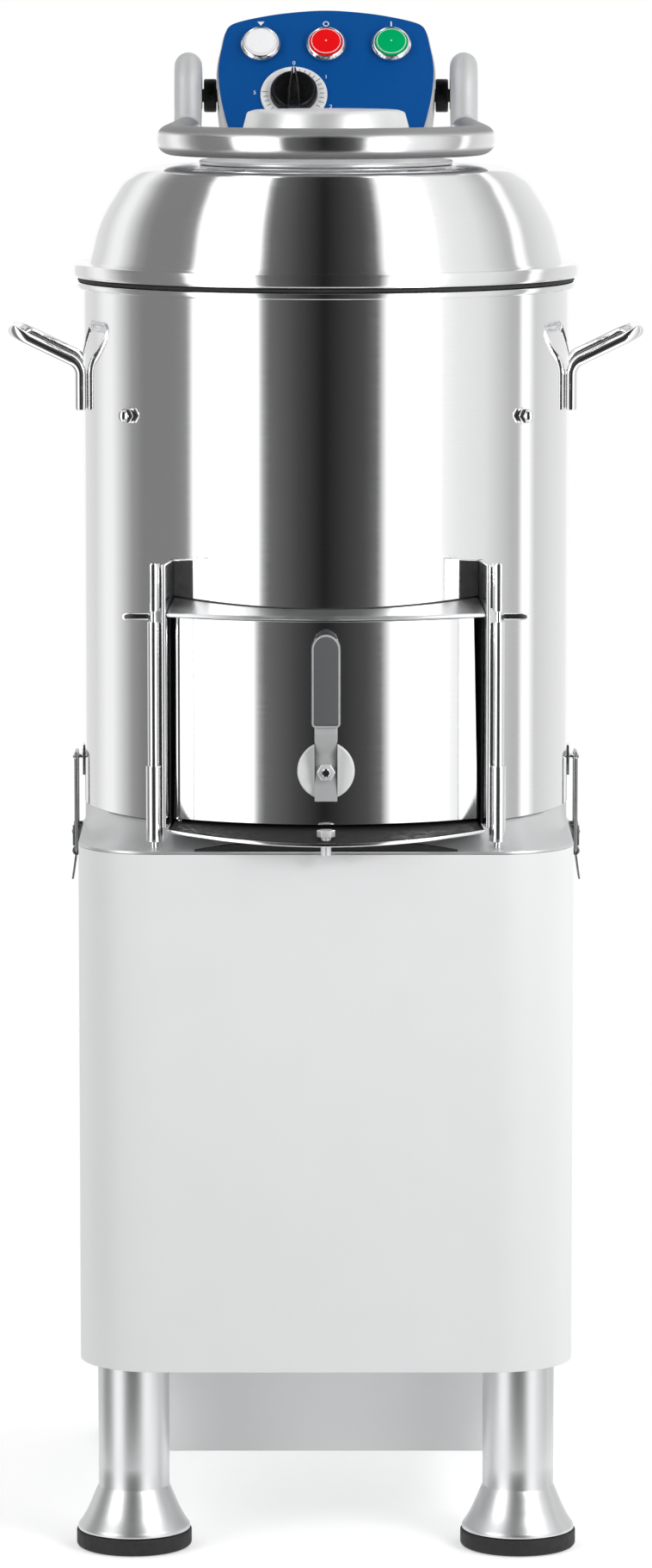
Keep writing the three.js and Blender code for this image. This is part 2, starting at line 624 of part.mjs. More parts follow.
function buildDrive() {
  const rootFloor = drum.bottom - seatGap;
  const bore = shaft.radius + runGap;
  const neckRadius = drum.boreRadius - seatGap;
  const housing = [
    [bore, bearing.bottom], [bearing.radius, bearing.bottom], [bearing.radius, rootFloor - bearing.flange],
    [bearing.flangeRadius, rootFloor - bearing.flange], [bearing.flangeRadius, rootFloor],
    [neckRadius, rootFloor],
    [neckRadius, rootFloor + bearing.neck], [bore, rootFloor + bearing.neck], [bore, bearing.bottom],
  ];
  piece("bearing_housing", turned(housing, roundSides), finish.cast);

  const spinning = groupAt(0, 0, 0);
  const pulleyTop = pulley.bottom + pulley.height;
  const middle = pulley.bottom + pulley.height / 2;
  const grooved = (radius) => [
    [radius, pulley.bottom], [radius, middle - pulley.grooveWidth / 2],
    [radius - pulley.groove, middle - belt.height / 2 - seatGap], [
      radius - pulley.groove, middle + belt.height / 2 + seatGap,
    ],
    [radius, middle + pulley.grooveWidth / 2], [radius, pulleyTop],
  ];
  const shaftProfile = [
    [0, shaft.bottom], [pulley.hub, shaft.bottom], [pulley.hub, pulley.bottom], ...grooved(pulley.radius),
    [pulley.hub, pulleyTop], [pulley.hub, bearing.bottom - runGap], [shaft.radius, bearing.bottom - runGap],
    [shaft.radius, shaft.top], [0, shaft.top],
  ];
  piece("drive_shaft", turned(shaftProfile, roundSides), finish.cast, spinning);

  const underside = disc.top - disc.rim;
  const socket = shaft.radius + seatGap;
  const plate = [
    [0, shaft.top + seatGap], [socket, shaft.top + seatGap], [socket, disc.hubBottom], [
      disc.hubRadius, disc.hubBottom,
    ],
    [disc.hubRadius, underside], [disc.radius, underside], [disc.radius, disc.top], [0, disc.top],
  ];
  const ridgeLength = ridge.outer - ridge.inner;
  const ridges = Array.from({ length: ridgeCount }, (_, i) => {
    const bar = rodOf(
      1, ridge.inner, ridge.inner + ridgeLength, smallSides,
    ).scale(ridge.height, ridge.width / 2, 1);
    return bar.rotateY(Math.PI / 2).rotateZ((i * 2 * Math.PI) / ridgeCount).translate(0, 0, disc.top);
  });
  const blades = [0, Math.PI].map((turn) =>
    block(
      sweeper.inner, sweeper.outer, -sweeper.thickness / 2, sweeper.thickness / 2,
      underside - sweeper.height, underside + disc.rim / 2,
    )
      .rotateZ(turn),
  );
  piece("peeling_disc", join(turned(plate, drumSides), ...ridges, ...blades), finish.abrasive, spinning);

  buildMotor(grooved);
}

function beltOutline(large, small, distance) {
  const lean = Math.asin((large - small) / distance);
  const outline = new THREE.Shape();
  outline.absarc(0, distance, small, lean, Math.PI - lean);
  outline.absarc(0, 0, large, Math.PI - lean, 2 * Math.PI + lean);
  return outline;
}

function buildMotor(grooved) {
  const plateBottom = bracket.plateTop - bracket.plate;
  const bracketTop = cabinet.top;
  const outer = block(
    -bracket.halfWidth, bracket.halfWidth, bracket.front, bracket.rear, plateBottom, bracketTop,
  );
  const inside = bracket.halfWidth - bracket.plate;
  const hollow = block(
    -inside, inside, bracket.front - overrun, bracket.rear + overrun, bracket.plateTop,
    bracketTop + overrun,
  );
  const bore = rodOf(bracket.boreRadius, plateBottom - overrun, bracket.plateTop + overrun, roundSides);
  piece("motor_bracket", cut(outer, hollow, bore.translate(0, motor.centre, 0)), finish.satin);

  const top = plateBottom - seatGap;
  const socket = motor.shaftRadius + runGap;
  const bodyProfile = [
    [0, motor.bottom], [motor.capRadius, motor.bottom], [motor.capRadius, motor.bottom + motor.capHeight],
    [motor.radius, motor.bottom + motor.capHeight], [motor.radius, top - motor.capHeight / 2],
    [motor.capRadius, top - motor.capHeight / 2], [motor.capRadius, top], [socket, top],
    [socket, top - motor.socket],
    [0, top - motor.socket],
  ];
  const terminal = block(
    -conduit.width / 2, conduit.width / 2, motor.radius / 2, motor.radius + conduit.depth,
    (motor.bottom + top - conduit.height) / 2, (motor.bottom + top + conduit.height) / 2,
  );
  const place = groupAt(0, motor.centre, 0);
  piece("motor", join(turned(bodyProfile, roundSides), terminal), finish.motorPaint, place);

  const pulleyTop = pulley.bottom + pulley.height;
  const small = [
    [0, top - motor.socket + runGap], [motor.shaftRadius, top - motor.socket + runGap], [
      motor.shaftRadius, pulley.bottom,
    ],
    ...grooved(pulley.smallRadius), [0, pulleyTop],
  ];
  piece("motor_pulley", turned(small, roundSides), finish.cast, place);

  const rootGap = pulley.groove - seatGap;
  const outline = beltOutline(
    pulley.radius - rootGap + belt.depth, pulley.smallRadius - rootGap + belt.depth, motor.centre,
  );
  outline.holes.push(beltOutline(pulley.radius - rootGap, pulley.smallRadius - rootGap, motor.centre));
  const beltBottom = pulley.bottom + (pulley.height - belt.height) / 2;
  piece("v_belt", prism(outline, belt.height, roundSides).translate(0, 0, beltBottom), finish.rubber);
}

// Inner face of a chute plate: its half-width at a distance in front of the drum's axis.
const chuteRear = onCircle(drum.radius, chute.rearHalf);
const chuteHalf = (forward) => mix(
  chute.rearHalf, chute.frontHalf, (forward - chuteRear) / (chute.front - chuteRear),
);

function buildChute() {
  const outsideDrum = drum.radius + seatGap;
  const drumCore = rodOf(outsideDrum, chute.bottom - overrun, chute.top + overrun, coreSides);
  for (const [name, side] of sides) {
    const plan = outlineOf([
      [side * chuteHalf(chuteRear - overrun), -chuteRear + overrun], [side * chute.frontHalf, -chute.front],
      [side * (chute.frontHalf + chute.plate), -chute.front], [
        side * (chuteHalf(chuteRear - overrun) + chute.plate), -chuteRear + overrun,
      ],
    ]);
    const plate = cut(prism(plan, chute.top - chute.bottom).translate(0, 0, chute.bottom), drumCore);
    const guideAt = (radius, bottom, top) => rodOf(radius, bottom, top, smallSides).translate(
      side * guide.side, -guide.back, 0,
    );
    const bridge = (radius, bottom, top) =>
      block(
        chute.frontHalf + chute.plate / 2, guide.side, -guide.back - radius / 2, -guide.back + radius / 2,
        bottom, top,
      ).scale(side, 1, 1);
    const handleBottom = slideBolt.handle - slideBolt.radius;
    const handleTop = slideBolt.handle + slideBolt.radius;
    const sections = [
      [guide.lowRadius, guide.bottom, guide.lowTop],
      [guide.midRadius, guide.lowTop - overrun, handleBottom - slideBolt.lift],
      [guide.topRadius, handleTop + slideBolt.travel / 3, chute.top],
    ];
    const slotReach = guide.topRadius + overrun;
    const slotHalf = slideBolt.radius + runGap;
    const slot = block(
      0, slotReach, -slotHalf, slotHalf, handleBottom, handleTop + slideBolt.travel + runGap,
    );
    const slotAt = slot.scale(side, 1, 1).translate(side * guide.side, -guide.back, 0);
    const pieces = sections.flatMap((section) => [guideAt(...section), bridge(...section)]);
    const bore = guideAt(guide.bore, guide.bottom - overrun, chute.top + overrun);
    piece(`chute_plate_${name}`, cut(join(plate, ...pieces), bore, slotAt), finish.polished);
  }

  const topAt = (lower) => (u, v) => {
    const share = 2 * u - 1;
    const rearSide = share * (chute.rearHalf - runGap);
    const side = mix(rearSide, share * (chute.frontHalf - runGap), v);
    const rear = onCircle(outsideDrum, rearSide);
    const reach = mix(hood.reach, chute.front, share ** 2);
    const rearHeight = mix(hood.rearMiddle, hood.rearEnd, share ** 2);
    return [side, -mix(rear, reach, v), mix(rearHeight, hood.front, v) - lower];
  };
  const pinAt = (bottom, top) => rodOf(
    knuckle.pin, bottom, top, rodSides,
  ).translate(-knuckle.side, -knuckle.back, 0);
  const upperPin = pinAt(door.top - knuckle.depth, hood.rearMiddle + hood.sheet / 3);
  piece(
    "chute_hood", join(sheet(topAt(0), topAt(hood.sheet), smallSides, sheetRows), upperPin),
    finish.polished,
  );

  const floorAt = (lower) => (u, v) => {
    const share = 2 * u - 1;
    const rearSide = share * (chute.rearHalf - runGap);
    const side = mix(rearSide, share * (chute.frontHalf - runGap), v);
    const reach = mix(tray.reach, chute.front, share ** 2);
    const height = mix(tray.rear, mix(tray.frontMiddle, tray.frontEnd, share ** 2), v);
    return [side, -mix(onCircle(outsideDrum, rearSide), reach, v), height - lower];
  };
  const boltBack = tray.reach - stopBolt.inset;
  const trayHeight = (forward) => mix(
    tray.rear, tray.frontMiddle, (forward - drum.radius) / (tray.reach - drum.radius),
  );
  const boltHole = rodOf(
    stopBolt.radius + seatGap, tray.frontMiddle - overrun - stopBolt.length, tray.rear + overrun,
    smallSides,
  );
  const floor = cut(
    sheet(floorAt(0), floorAt(tray.sheet), smallSides, sheetRows), boltHole.translate(0, -boltBack, 0),
  );
  const lowerPin = pinAt(tray.rear - tray.sheet, door.bottom + knuckle.depth);
  piece("chute_floor", join(floor, lowerPin), finish.polished);

  const seat = trayHeight(boltBack - stopBolt.headRadius) + seatGap;
  const boltProfile = [
    [0, seat - stopBolt.length], [stopBolt.radius, seat - stopBolt.length], [stopBolt.radius, seat],
    [stopBolt.headRadius, seat], [stopBolt.headRadius, seat + stopBolt.head], [0, seat + stopBolt.head],
  ];
  piece("stop_bolt", turned(boltProfile, hexSides).translate(0, -boltBack, 0), finish.zinc);
}

// Curved discharge door, hinged on its left edge, with the lever and spindle that it carries.
function buildDoor() {
  const swing = groupAt(-knuckle.side, -knuckle.back, 0);
  const local = (geometry) => geometry.translate(knuckle.side, knuckle.back, 0);
  const skin = (radius) => (u, v) => {
    const side = (2 * u - 1) * mix(door.bottomHalf, door.topHalf, v);
    return [side, -onCircle(radius, side), mix(door.bottom, door.top, v)];
  };
  const panel = sheet(skin(door.radius), skin(door.radius - door.wall), smallSides, doorRows);
  const barrel = rodOf(
    knuckle.radius, door.bottom, door.top, smallSides,
  ).translate(-knuckle.side, -knuckle.back, 0);
  const bore = rodOf(spindle.radius + seatGap, 0, door.radius + overrun, smallSides).rotateX(Math.PI / 2);
  const sockets = [
    [door.bottom - overrun, door.bottom + knuckle.depth + runGap],
    [door.top - knuckle.depth - runGap, door.top + overrun],
  ];
  const hingeBores = sockets.map(([bottom, top]) =>
    rodOf(knuckle.pin + runGap, bottom, top, smallSides).translate(-knuckle.side, -knuckle.back, 0),
  );
  const panelPiece = cut(join(panel, barrel), bore.translate(0, 0, lever.pivot), ...hingeBores);
  piece("door_panel", local(panelPiece), finish.polished, swing);

  const turning = groupAt(knuckle.side, knuckle.back, lever.pivot, swing);
  const plateBack = door.radius + spindle.disc + 2 * seatGap;
  const plateFront = plateBack + lever.plate;
  const leverProfile = [
    [-plateBack, -lever.tail], [-plateBack, lever.joggleStart], [
      -plateBack - lever.joggle, lever.joggleEnd,
    ],
    [-plateBack - lever.joggle, lever.top], [-plateFront - lever.joggle, lever.top],
    [-plateFront - lever.joggle, lever.joggleEnd], [-plateFront, lever.joggleStart],
    [-plateFront, -lever.tail],
  ];
  const alongY = (geometry) => geometry.rotateX(Math.PI / 2);
  const plateBore = alongY(rodOf(spindle.studRadius + seatGap, 0, plateFront + overrun, smallSides));
  piece("door_lever", cut(acrossX(leverProfile, lever.width), plateBore), finish.zinc, turning);

  const gripMiddle = plateBack + lever.joggle + lever.plate / 2;
  const gripRound = grip.width / 2;
  const gripOutline = new THREE.Shape();
  gripOutline.moveTo(-gripRound, grip.bottom);
  gripOutline.lineTo(gripRound, grip.bottom);
  gripOutline.absarc(0, grip.top - gripRound, gripRound, 0, Math.PI);
  const gripBody = alongY(prism(gripOutline, grip.thickness)).translate(
    0, -gripMiddle + grip.thickness / 2, 0,
  );
  const half = lever.width / 2 + seatGap;
  const slot = block(
    -half, half, -gripMiddle - lever.plate / 2 - seatGap, -gripMiddle + lever.plate / 2 + seatGap,
    grip.bottom - overrun, lever.top + seatGap,
  );
  piece("lever_grip", cut(gripBody, slot), finish.leverGrip, turning);

  const discBack = door.radius + seatGap;
  const inner = door.radius - door.wall - tongue.clear;
  const nutBack = plateFront + seatGap;
  const axle = [
    [0, inner - tongue.thickness], [spindle.radius, inner - tongue.thickness], [spindle.radius, discBack],
    [spindle.discRadius, discBack], [spindle.discRadius, discBack + spindle.disc], [
      spindle.studRadius, discBack + spindle.disc,
    ],
    [spindle.studRadius, nutBack + spindle.nut + spindle.stud], [0, nutBack + spindle.nut + spindle.stud],
  ];
  const nut = alongY(rodOf(spindle.nutRadius, nutBack, nutBack + spindle.nut, hexSides));
  const tongueBar = block(
    -spindle.tongueWidth / 2, spindle.tongueWidth / 2, -inner, -inner + tongue.thickness,
    -tongue.length, spindle.radius,
  );
  piece("lever_spindle", join(alongY(turned(axle, roundSides)), nut, tongueBar), finish.polished, turning);
}

function buildSlideBolts() {
  for (const [name, side] of sides) {
    const place = groupAt(side * guide.side, -guide.back, 0);
    const pin = rodOf(slideBolt.radius, slideBolt.bottom, slideBolt.top, rodSides);
    const arm = rodOf(slideBolt.radius, 0, slideBolt.reach + slideBolt.radius, rodSides);
    arm.rotateY((side * Math.PI) / 2).translate(0, 0, slideBolt.handle);
    const tip = new THREE.SphereGeometry(slideBolt.radius, rodSides, bendSteps);
    tip.translate(side * (slideBolt.reach + slideBolt.radius), 0, slideBolt.handle);
    piece(`slide_bolt_${name}`, join(pin, arm, tip), finish.polished, place);
  }
}

function buildHead() {
  const pose = groupAt(0, head.dialBack, head.dialHeight);
  pose.rotation.x = Math.PI / 2 - headTilt;

  const faceOutline = (grow) => {
    const shape = new THREE.Shape();
    const top = face.top + grow;
    shape.moveTo(-face.bottomHalf - grow, -face.bottom - grow);
    shape.lineTo(face.bottomHalf + grow, -face.bottom - grow);
    shape.lineTo(face.widestHalf + grow, face.widest);
    shape.lineTo(face.topHalf + grow + face.round / 4, face.shoulder - face.round);
    shape.quadraticCurveTo(
      face.topHalf + grow, face.shoulder + grow, face.topHalf - face.round,
      face.shoulder + grow + face.round / 4,
    );
    shape.quadraticCurveTo(face.topHalf / 3, top, 0, top);
    shape.quadraticCurveTo(
      -face.topHalf / 3, top, -face.topHalf + face.round, face.shoulder + grow + face.round / 4,
    );
    shape.quadraticCurveTo(
      -face.topHalf - grow, face.shoulder + grow, -face.topHalf - grow - face.round / 4,
      face.shoulder - face.round,
    );
    shape.lineTo(-face.widestHalf - grow, face.widest);
    return shape;
  };
  const centres = [["white", -button.pitch], ["red", 0], ["green", button.pitch]];
  const bodyHole = button.bodyRadius + seatGap;
  const holes = centres.map(([, x]) => rodOf(
    bodyHole, -head.plate - overrun, overrun, roundSides,
  ).translate(x, button.up, 0));
  const bossHole = rodOf(
    dial.bossRadius + seatGap, -head.plate - overrun, overrun, roundSides,
  ).translate(-dial.side, 0, 0);
  const plate = prism(faceOutline(0), head.plate, bendSteps).translate(0, 0, -head.plate);
  piece("face_plate", cut(plate, ...holes, bossHole), finish.blue, pose);

  const front = -head.plate - seatGap;
  const casing = prism(faceOutline(head.lip), head.depth + front, bendSteps).translate(0, 0, -head.depth);
  const hollow = prism(
    faceOutline(head.lip - head.wall), head.depth, bendSteps,
  ).translate(0, 0, -head.depth + head.wall);
  const axleHole = rodOf(
    hinge.radius + seatGap, -cabinet.width, cabinet.width, smallSides,
  ).rotateY(Math.PI / 2);
  axleHole.translate(0, hinge.up, -hinge.back);
  piece("control_housing", cut(casing, hollow, axleHole), finish.housing, pose);

  const recess = seatGap + button.rim;
  const bezel = [
    [0, -button.bodyDepth], [button.bodyRadius, -button.bodyDepth], [button.bodyRadius, seatGap],
    [button.bezelRadius, seatGap], [button.bezelRadius, button.bezelTop / 3],
    [button.bezelRadius - button.rim, button.bezelTop], [button.capRadius + seatGap, button.bezelTop],
    [button.capRadius + seatGap, recess], [buttonStem.radius + seatGap, recess],
    [buttonStem.radius + seatGap, -buttonStem.depth - buttonStem.travel - runGap],
    [0, -buttonStem.depth - buttonStem.travel - runGap],
  ];
  const capBottom = recess + buttonStem.travel + seatGap;
  const capTop = button.bezelTop + buttonStem.travel;
  const cap = [
    [0, -buttonStem.depth], [buttonStem.radius, -buttonStem.depth], [buttonStem.radius, capBottom],
    [button.capRadius, capBottom], [button.capRadius, capTop - button.rim],
    [button.capRadius - button.rim, capTop], [0, capTop],
  ];
  for (const [colour, x] of centres) {
    const place = groupAt(x, button.up, 0, pose);
    piece(`button_body_${colour}`, turned(bezel, roundSides), finish.zinc, place);
    piece(`button_${colour}`, turned(cap, roundSides), finish[`${colour}Lens`], place);
  }

  const place = groupAt(-dial.side, 0, 0, pose);
  const stemHole = dial.stemRadius + seatGap;
  const timerBack = front - dial.bodyDepth;
  const scale = [
    [stemHole, timerBack + head.wall], [dial.bossRadius, timerBack + head.wall], [dial.bossRadius, seatGap],
    [dial.radius, seatGap], [dial.radius, seatGap + dial.ring], [stemHole, seatGap + dial.ring], [
      stemHole, timerBack + head.wall,
    ],
  ];
  const box = cut(
    block(-dial.bodyHalf, dial.bodyHalf, -dial.bodyHalf, dial.bodyHalf, timerBack, front),
    rodOf(stemHole, timerBack + head.wall, overrun, smallSides),
  );
  piece("timer_body", join(turned(scale, roundSides), box), finish.dialRing, place);

  const base = seatGap + dial.ring + seatGap;
  const knobProfile = [
    [0, timerBack + head.wall + runGap], [dial.stemRadius, timerBack + head.wall + runGap],
    [dial.stemRadius, base],
    [knob.radius, base], [knob.radius - knob.skirt / 6, base + knob.skirt], [0, base + knob.skirt],
  ];
  const gripBar = block(
    -knob.gripWidth / 2, knob.gripWidth / 2, -knob.gripLength / 2, knob.gripLength / 2,
    base + knob.skirt / 2, base + knob.gripHeight,
  );
  piece("timer_knob", join(turned(knobProfile, roundSides), gripBar), finish.black, place);
}

// Height of the tilted head's back plane, where it meets the column, at a distance behind the drum's axis.
function backPlaneHeight(y) {
  const behind = head.depth + seatGap;
  const rise = Math.cos(headTilt) / Math.sin(headTilt);
  const start = head.dialBack + behind * Math.cos(headTilt);
  return head.dialHeight - behind * Math.sin(headTilt) + (y - start) * rise;
}

function buildColumn() {
  const base = cabinet.top + deck.plate + 2 * seatGap;
  const side = [
    [column.front, base], [column.rear, base], [column.rear, backPlaneHeight(column.rear)], [
      column.front, backPlaneHeight(column.front),
    ],
  ];
  const outer = acrossX(side, 2 * column.halfWidth);
  const inside = column.halfWidth - column.wall;
  const [innerFront, innerRear] = [column.front + column.wall, column.rear - column.wall];
  const hollow = [
    [innerFront, base - overrun], [innerRear, base - overrun], [
      innerRear, backPlaneHeight(innerRear) - 2 * column.wall,
    ],
    [innerFront, backPlaneHeight(innerFront) - 2 * column.wall],
  ];
  piece("control_column", cut(outer, acrossX(hollow, 2 * inside)), finish.satin);
}

// Place of the lid's hinge axis: on the head's sides, behind its face.
const hingeY = head.dialBack + hinge.up * Math.sin(headTilt) + hinge.back * Math.cos(headTilt);
const hingeZ = head.dialHeight + hinge.up * Math.cos(headTilt) - hinge.back * Math.sin(headTilt);

function buildHinge() {
  const length = tube.armHalf + tube.radius / 2;
  const pin = rodOf(hinge.radius, -length, length, smallSides).rotateY(Math.PI / 2);
  const inner = face.widestHalf + head.lip + seatGap;
  const outer = tube.armHalf - tube.radius - hinge.bushGap;
  const bushes = sides.map(([, side]) =>
    rodOf(hinge.bushRadius, inner, outer, roundSides).rotateY((side * Math.PI) / 2),
  );
  const place = groupAt(0, hingeY, hingeZ);
  piece("hinge_shaft", join(pin, ...bushes), finish.black, place);
}

function buildLid() {
  const swing = groupAt(0, hingeY, hingeZ);
  const local = (geometry) => geometry.translate(0, -hingeY, -hingeZ);
  const flangeTop = lid.flangeBottom + lid.flange;
  const rise = lid.top - flangeTop;
  const domeShares = [
    [1, 0], [0.985, 0.134], [0.969, 0.297], [0.948, 0.44], [0.918, 0.584], [0.883, 0.718],
    [0.856, 0.816], [0.823, 0.887], [0.77, 0.957], [0.68, 0.99], [0.58, 1],
  ];
  const outer = domeShares.map(([out, up]) => [lid.radius * out, flangeTop + rise * up]);
  const inner = domeShares.map(([out, up]) => [
    (lid.radius - lid.wall) * out, flangeTop + (rise - lid.wall) * up,
  ]).reverse();
  const profile = [
    [0, lid.top - lid.wall], ...inner, [lid.radius - lid.wall, lid.flangeBottom], [
      lid.flangeRadius, lid.flangeBottom,
    ],
    [lid.flangeRadius, flangeTop], ...outer, [0, lid.top],
  ];
  piece("lid_dome", local(turned(profile, lidSides)), finish.polished, swing);
  piece(
    "lid_seal",
    local(ringOf(seal.inner, seal.outer, drum.top + seatGap, lid.flangeBottom - seatGap, lidSides)),
    finish.rubber, swing,
  );

  const discBottom = lid.top + seatGap;
  const discTop = discBottom + hub.disc;
  const capBottom = hub.top - hub.cap;
  const hubProfile = [
    [0, discBottom], [hub.discRadius, discBottom], [hub.discRadius, discBottom + hub.rim],
    [hub.discRadius * hubSlopeShare, discTop - hub.rim / 2], [hub.neckRadius, discTop],
    [hub.neckRadius, capBottom],
    [hub.capRadius - hub.rim, capBottom], [hub.capRadius, capBottom + hub.rim], [
      hub.capTopRadius, hub.top - hub.rim / 2,
    ],
    [hub.capTopRadius - hub.rim, hub.top], [0, hub.top],
  ];
  const bar = (radius, half) => rodOf(
    radius, -half, half, smallSides,
  ).rotateY(Math.PI / 2).translate(0, 0, tube.height);
  piece(
    "lid_hub", local(cut(turned(hubProfile, hubSides), bar(crossbar.radius + seatGap, hub.discRadius))),
    finish.polished, swing,
  );

  const riser = hingeY - 2 * tube.archRadius;
  const arc = Array.from({ length: ringSteps + 1 }, (_, i) => {
    const angle = (i / ringSteps) * (Math.PI / 2);
    return new THREE.Vector3(
      -tube.ringRadius * Math.cos(angle), -tube.ringRadius * Math.sin(angle), tube.height,
    );
  });
  const arm = roundedPath(
    [
      new THREE.Vector3(-tube.armHalf, hingeY, hingeZ - tube.tail),
      new THREE.Vector3(-tube.armHalf, hingeY, tube.archTop),
      new THREE.Vector3(-tube.armHalf, riser, tube.archTop),
      new THREE.Vector3(-tube.armHalf, riser, tube.height),
      arc[0],
    ],
    tube.archRadius,
    bendSteps,
  ).filter((point, i, all) => i === 0 || point.distanceTo(all[i - 1]) > weld);
  const half = [...arm, ...arc.slice(1)];
  const mirrored = half.slice(0, -1).reverse().map(({ x, y, z }) => new THREE.Vector3(-x, y, z));
  const loop = barAlong([...half, ...mirrored], tube.radius, smallSides);
  const pinHole = rodOf(hinge.radius + runGap, -tube.armHalf - overrun, tube.armHalf + overrun, smallSides);
  pinHole.rotateY(Math.PI / 2).translate(0, hingeY, hingeZ);
  piece(
    "lid_handle", local(cut(join(loop, bar(crossbar.radius, tube.ringRadius)), pinHole)), finish.polished,
    swing,
  );
}

function buildSideHandles() {
  const centre = onCircle(drum.radius + sideHandle.rod + seatGap, sideHandle.halfSpan);
  const rise = (sideHandle.reach - centre) * Math.tan(sideHandleRise);
  const corners = [
    [centre, -sideHandle.halfSpan, sideHandle.bottom], [
      centre, -sideHandle.halfSpan, sideHandle.bendHeight,
    ],
    [sideHandle.reach, -sideHandle.halfSpan, sideHandle.bendHeight + rise], [
      sideHandle.reach, sideHandle.halfSpan, sideHandle.bendHeight + rise,
    ],
    [centre, sideHandle.halfSpan, sideHandle.bendHeight], [centre, sideHandle.halfSpan, sideHandle.bottom],
  ].map((point) => new THREE.Vector3(...point));
  for (const [name, side] of sides) {
    const rod = barAlong(roundedPath(corners, sideHandle.bend, rodBendSteps), sideHandle.rod, rodSides);
    piece(`side_handle_${name}`, side > 0 ? rod : rod.rotateZ(Math.PI), finish.polished);
  }
}

// Toggle latch on each side: a base with two ears and a pin, a lever on it, and a wire loop on the lever.
function buildLatches() {
  const wall = cabinet.width / 2;
  for (const [name, side] of sides) {
    const place = groupAt(side * wall, 0, 0);
    place.rotation.z = side > 0 ? 0 : Math.PI;
    const base = block(
      seatGap, seatGap + latch.plate, -latch.halfWidth, latch.halfWidth, latch.bottom, latch.top,
    );
    const ears = [-1, 1].map((end) => {
      const outer = end * (latch.halfWidth - latch.earWidth);
      return block(
        seatGap, seatGap + latch.ear, Math.min(outer, end * latch.halfWidth),
        Math.max(outer, end * latch.halfWidth), latch.earBottom, latch.earTop,
      );
    });
    const pinHalf = latch.halfWidth - latch.earWidth / 2;
    const pin = rodOf(
      latchPin.radius, -pinHalf, pinHalf, smallSides,
    ).rotateX(Math.PI / 2).translate(latchPin.out, 0, latchPin.height);
    piece(`latch_base_${name}`, join(base, ...ears, pin), finish.zinc, place);

    const turning = groupAt(latchPin.out, 0, latchPin.height, place);
    const eye = (radius, height, half = latchLever.halfWidth) =>
      rodOf(radius, -half, half, smallSides).rotateX(Math.PI / 2).translate(0, 0, height);
    const pinBore = latchPin.radius + runGap;
    const bailBore = bail.radius + runGap;
    const half = latchLever.plate / 2;
    const kicked = latchLever.kick + half;
    const blade = acrossX(
      [
        [-half, 0], [-half, -bail.drop], [kicked - 2 * half, -latchLever.tail], [kicked, -latchLever.tail],
        [half, -bail.drop], [half, 0],
      ],
      2 * latchLever.halfWidth,
    ).rotateZ(-Math.PI / 2);
    const whole = join(
      blade, eye(pinBore + latchLever.plate, 0), eye(bailBore + latchLever.plate, -bail.drop),
    );
    const bores = [eye(pinBore, 0, latch.halfWidth), eye(bailBore, -bail.drop, latch.halfWidth)];
    piece(`latch_lever_${name}`, cut(whole, ...bores), finish.zinc, turning);

    const rise = bail.top - latchPin.height;
    const loop = [
      [0, -bail.gap, -bail.drop], [0, -bail.halfWidth, -bail.drop], [0, -bail.halfWidth, rise],
      [0, bail.halfWidth, rise], [0, bail.halfWidth, -bail.drop], [0, bail.gap, -bail.drop],
    ].map((point) => new THREE.Vector3(...point));
    const wire = barAlong(roundedPath(loop, bail.bend, wireBendSteps), bail.radius, rodSides);
    piece(`latch_bail_${name}`, wire, finish.polished, turning);
  }
}

buildCabinet();
buildDeck();
buildLegs();
buildGuard();
buildDrum();
buildPlumbing();
buildDrive();
buildChute();
buildDoor();
buildSlideBolts();
buildHead();
buildColumn();
buildHinge();
buildLid();
buildSideHandles();
buildLatches();

// The origin goes to the middle of the machine's footprint, on the floor.
const reach = new THREE.Box3().setFromObject(machine, true);
machine.position.set(0, -(reach.min.y + reach.max.y) / 2, 0);
const potatoPeeler = new THREE.Group();
potatoPeeler.add(machine);

export default potatoPeeler;
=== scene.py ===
"""Looks of a floor-standing potato peeler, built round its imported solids.

Every shape is worked out with numpy in millimetres, in the machine's own frame: the drum's axis is
X = Y = 0, the floor is Z = 0 and the front faces -Y. A mesh is moved into the part's frame as it is made.
"""

from __future__ import annotations

import json
import logging
import math
from dataclasses import dataclass, field
from enum import Enum
from typing import Callable, Iterable, Sequence

import bmesh
import bpy
import numpy as np
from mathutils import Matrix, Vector

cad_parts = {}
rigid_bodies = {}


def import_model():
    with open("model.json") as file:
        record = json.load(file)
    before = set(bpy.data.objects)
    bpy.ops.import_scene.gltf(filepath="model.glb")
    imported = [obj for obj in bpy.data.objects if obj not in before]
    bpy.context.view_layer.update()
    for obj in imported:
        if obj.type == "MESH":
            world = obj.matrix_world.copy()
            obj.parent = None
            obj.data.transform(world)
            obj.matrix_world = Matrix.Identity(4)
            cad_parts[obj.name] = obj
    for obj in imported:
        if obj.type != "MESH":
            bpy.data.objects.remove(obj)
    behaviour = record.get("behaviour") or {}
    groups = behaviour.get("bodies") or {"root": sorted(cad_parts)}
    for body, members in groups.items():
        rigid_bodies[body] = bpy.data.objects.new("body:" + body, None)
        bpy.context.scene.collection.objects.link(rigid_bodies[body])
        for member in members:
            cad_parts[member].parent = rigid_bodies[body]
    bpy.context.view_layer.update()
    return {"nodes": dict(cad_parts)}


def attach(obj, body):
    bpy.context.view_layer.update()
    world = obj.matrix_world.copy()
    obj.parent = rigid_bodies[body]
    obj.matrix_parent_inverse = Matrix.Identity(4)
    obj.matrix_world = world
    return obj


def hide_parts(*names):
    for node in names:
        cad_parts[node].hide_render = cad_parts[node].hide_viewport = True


Array = np.ndarray
Pair = tuple[float, float]
Triple = tuple[float, float, float]
Numbers = tuple[float, ...]
Line = tuple[Pair, ...]
Points = Sequence[Sequence[float]]
LOG = logging.getLogger("potato_peeler")
FRAME_SHIFT = np.array([0.0, -44.0, 0.0])
MM = 0.001
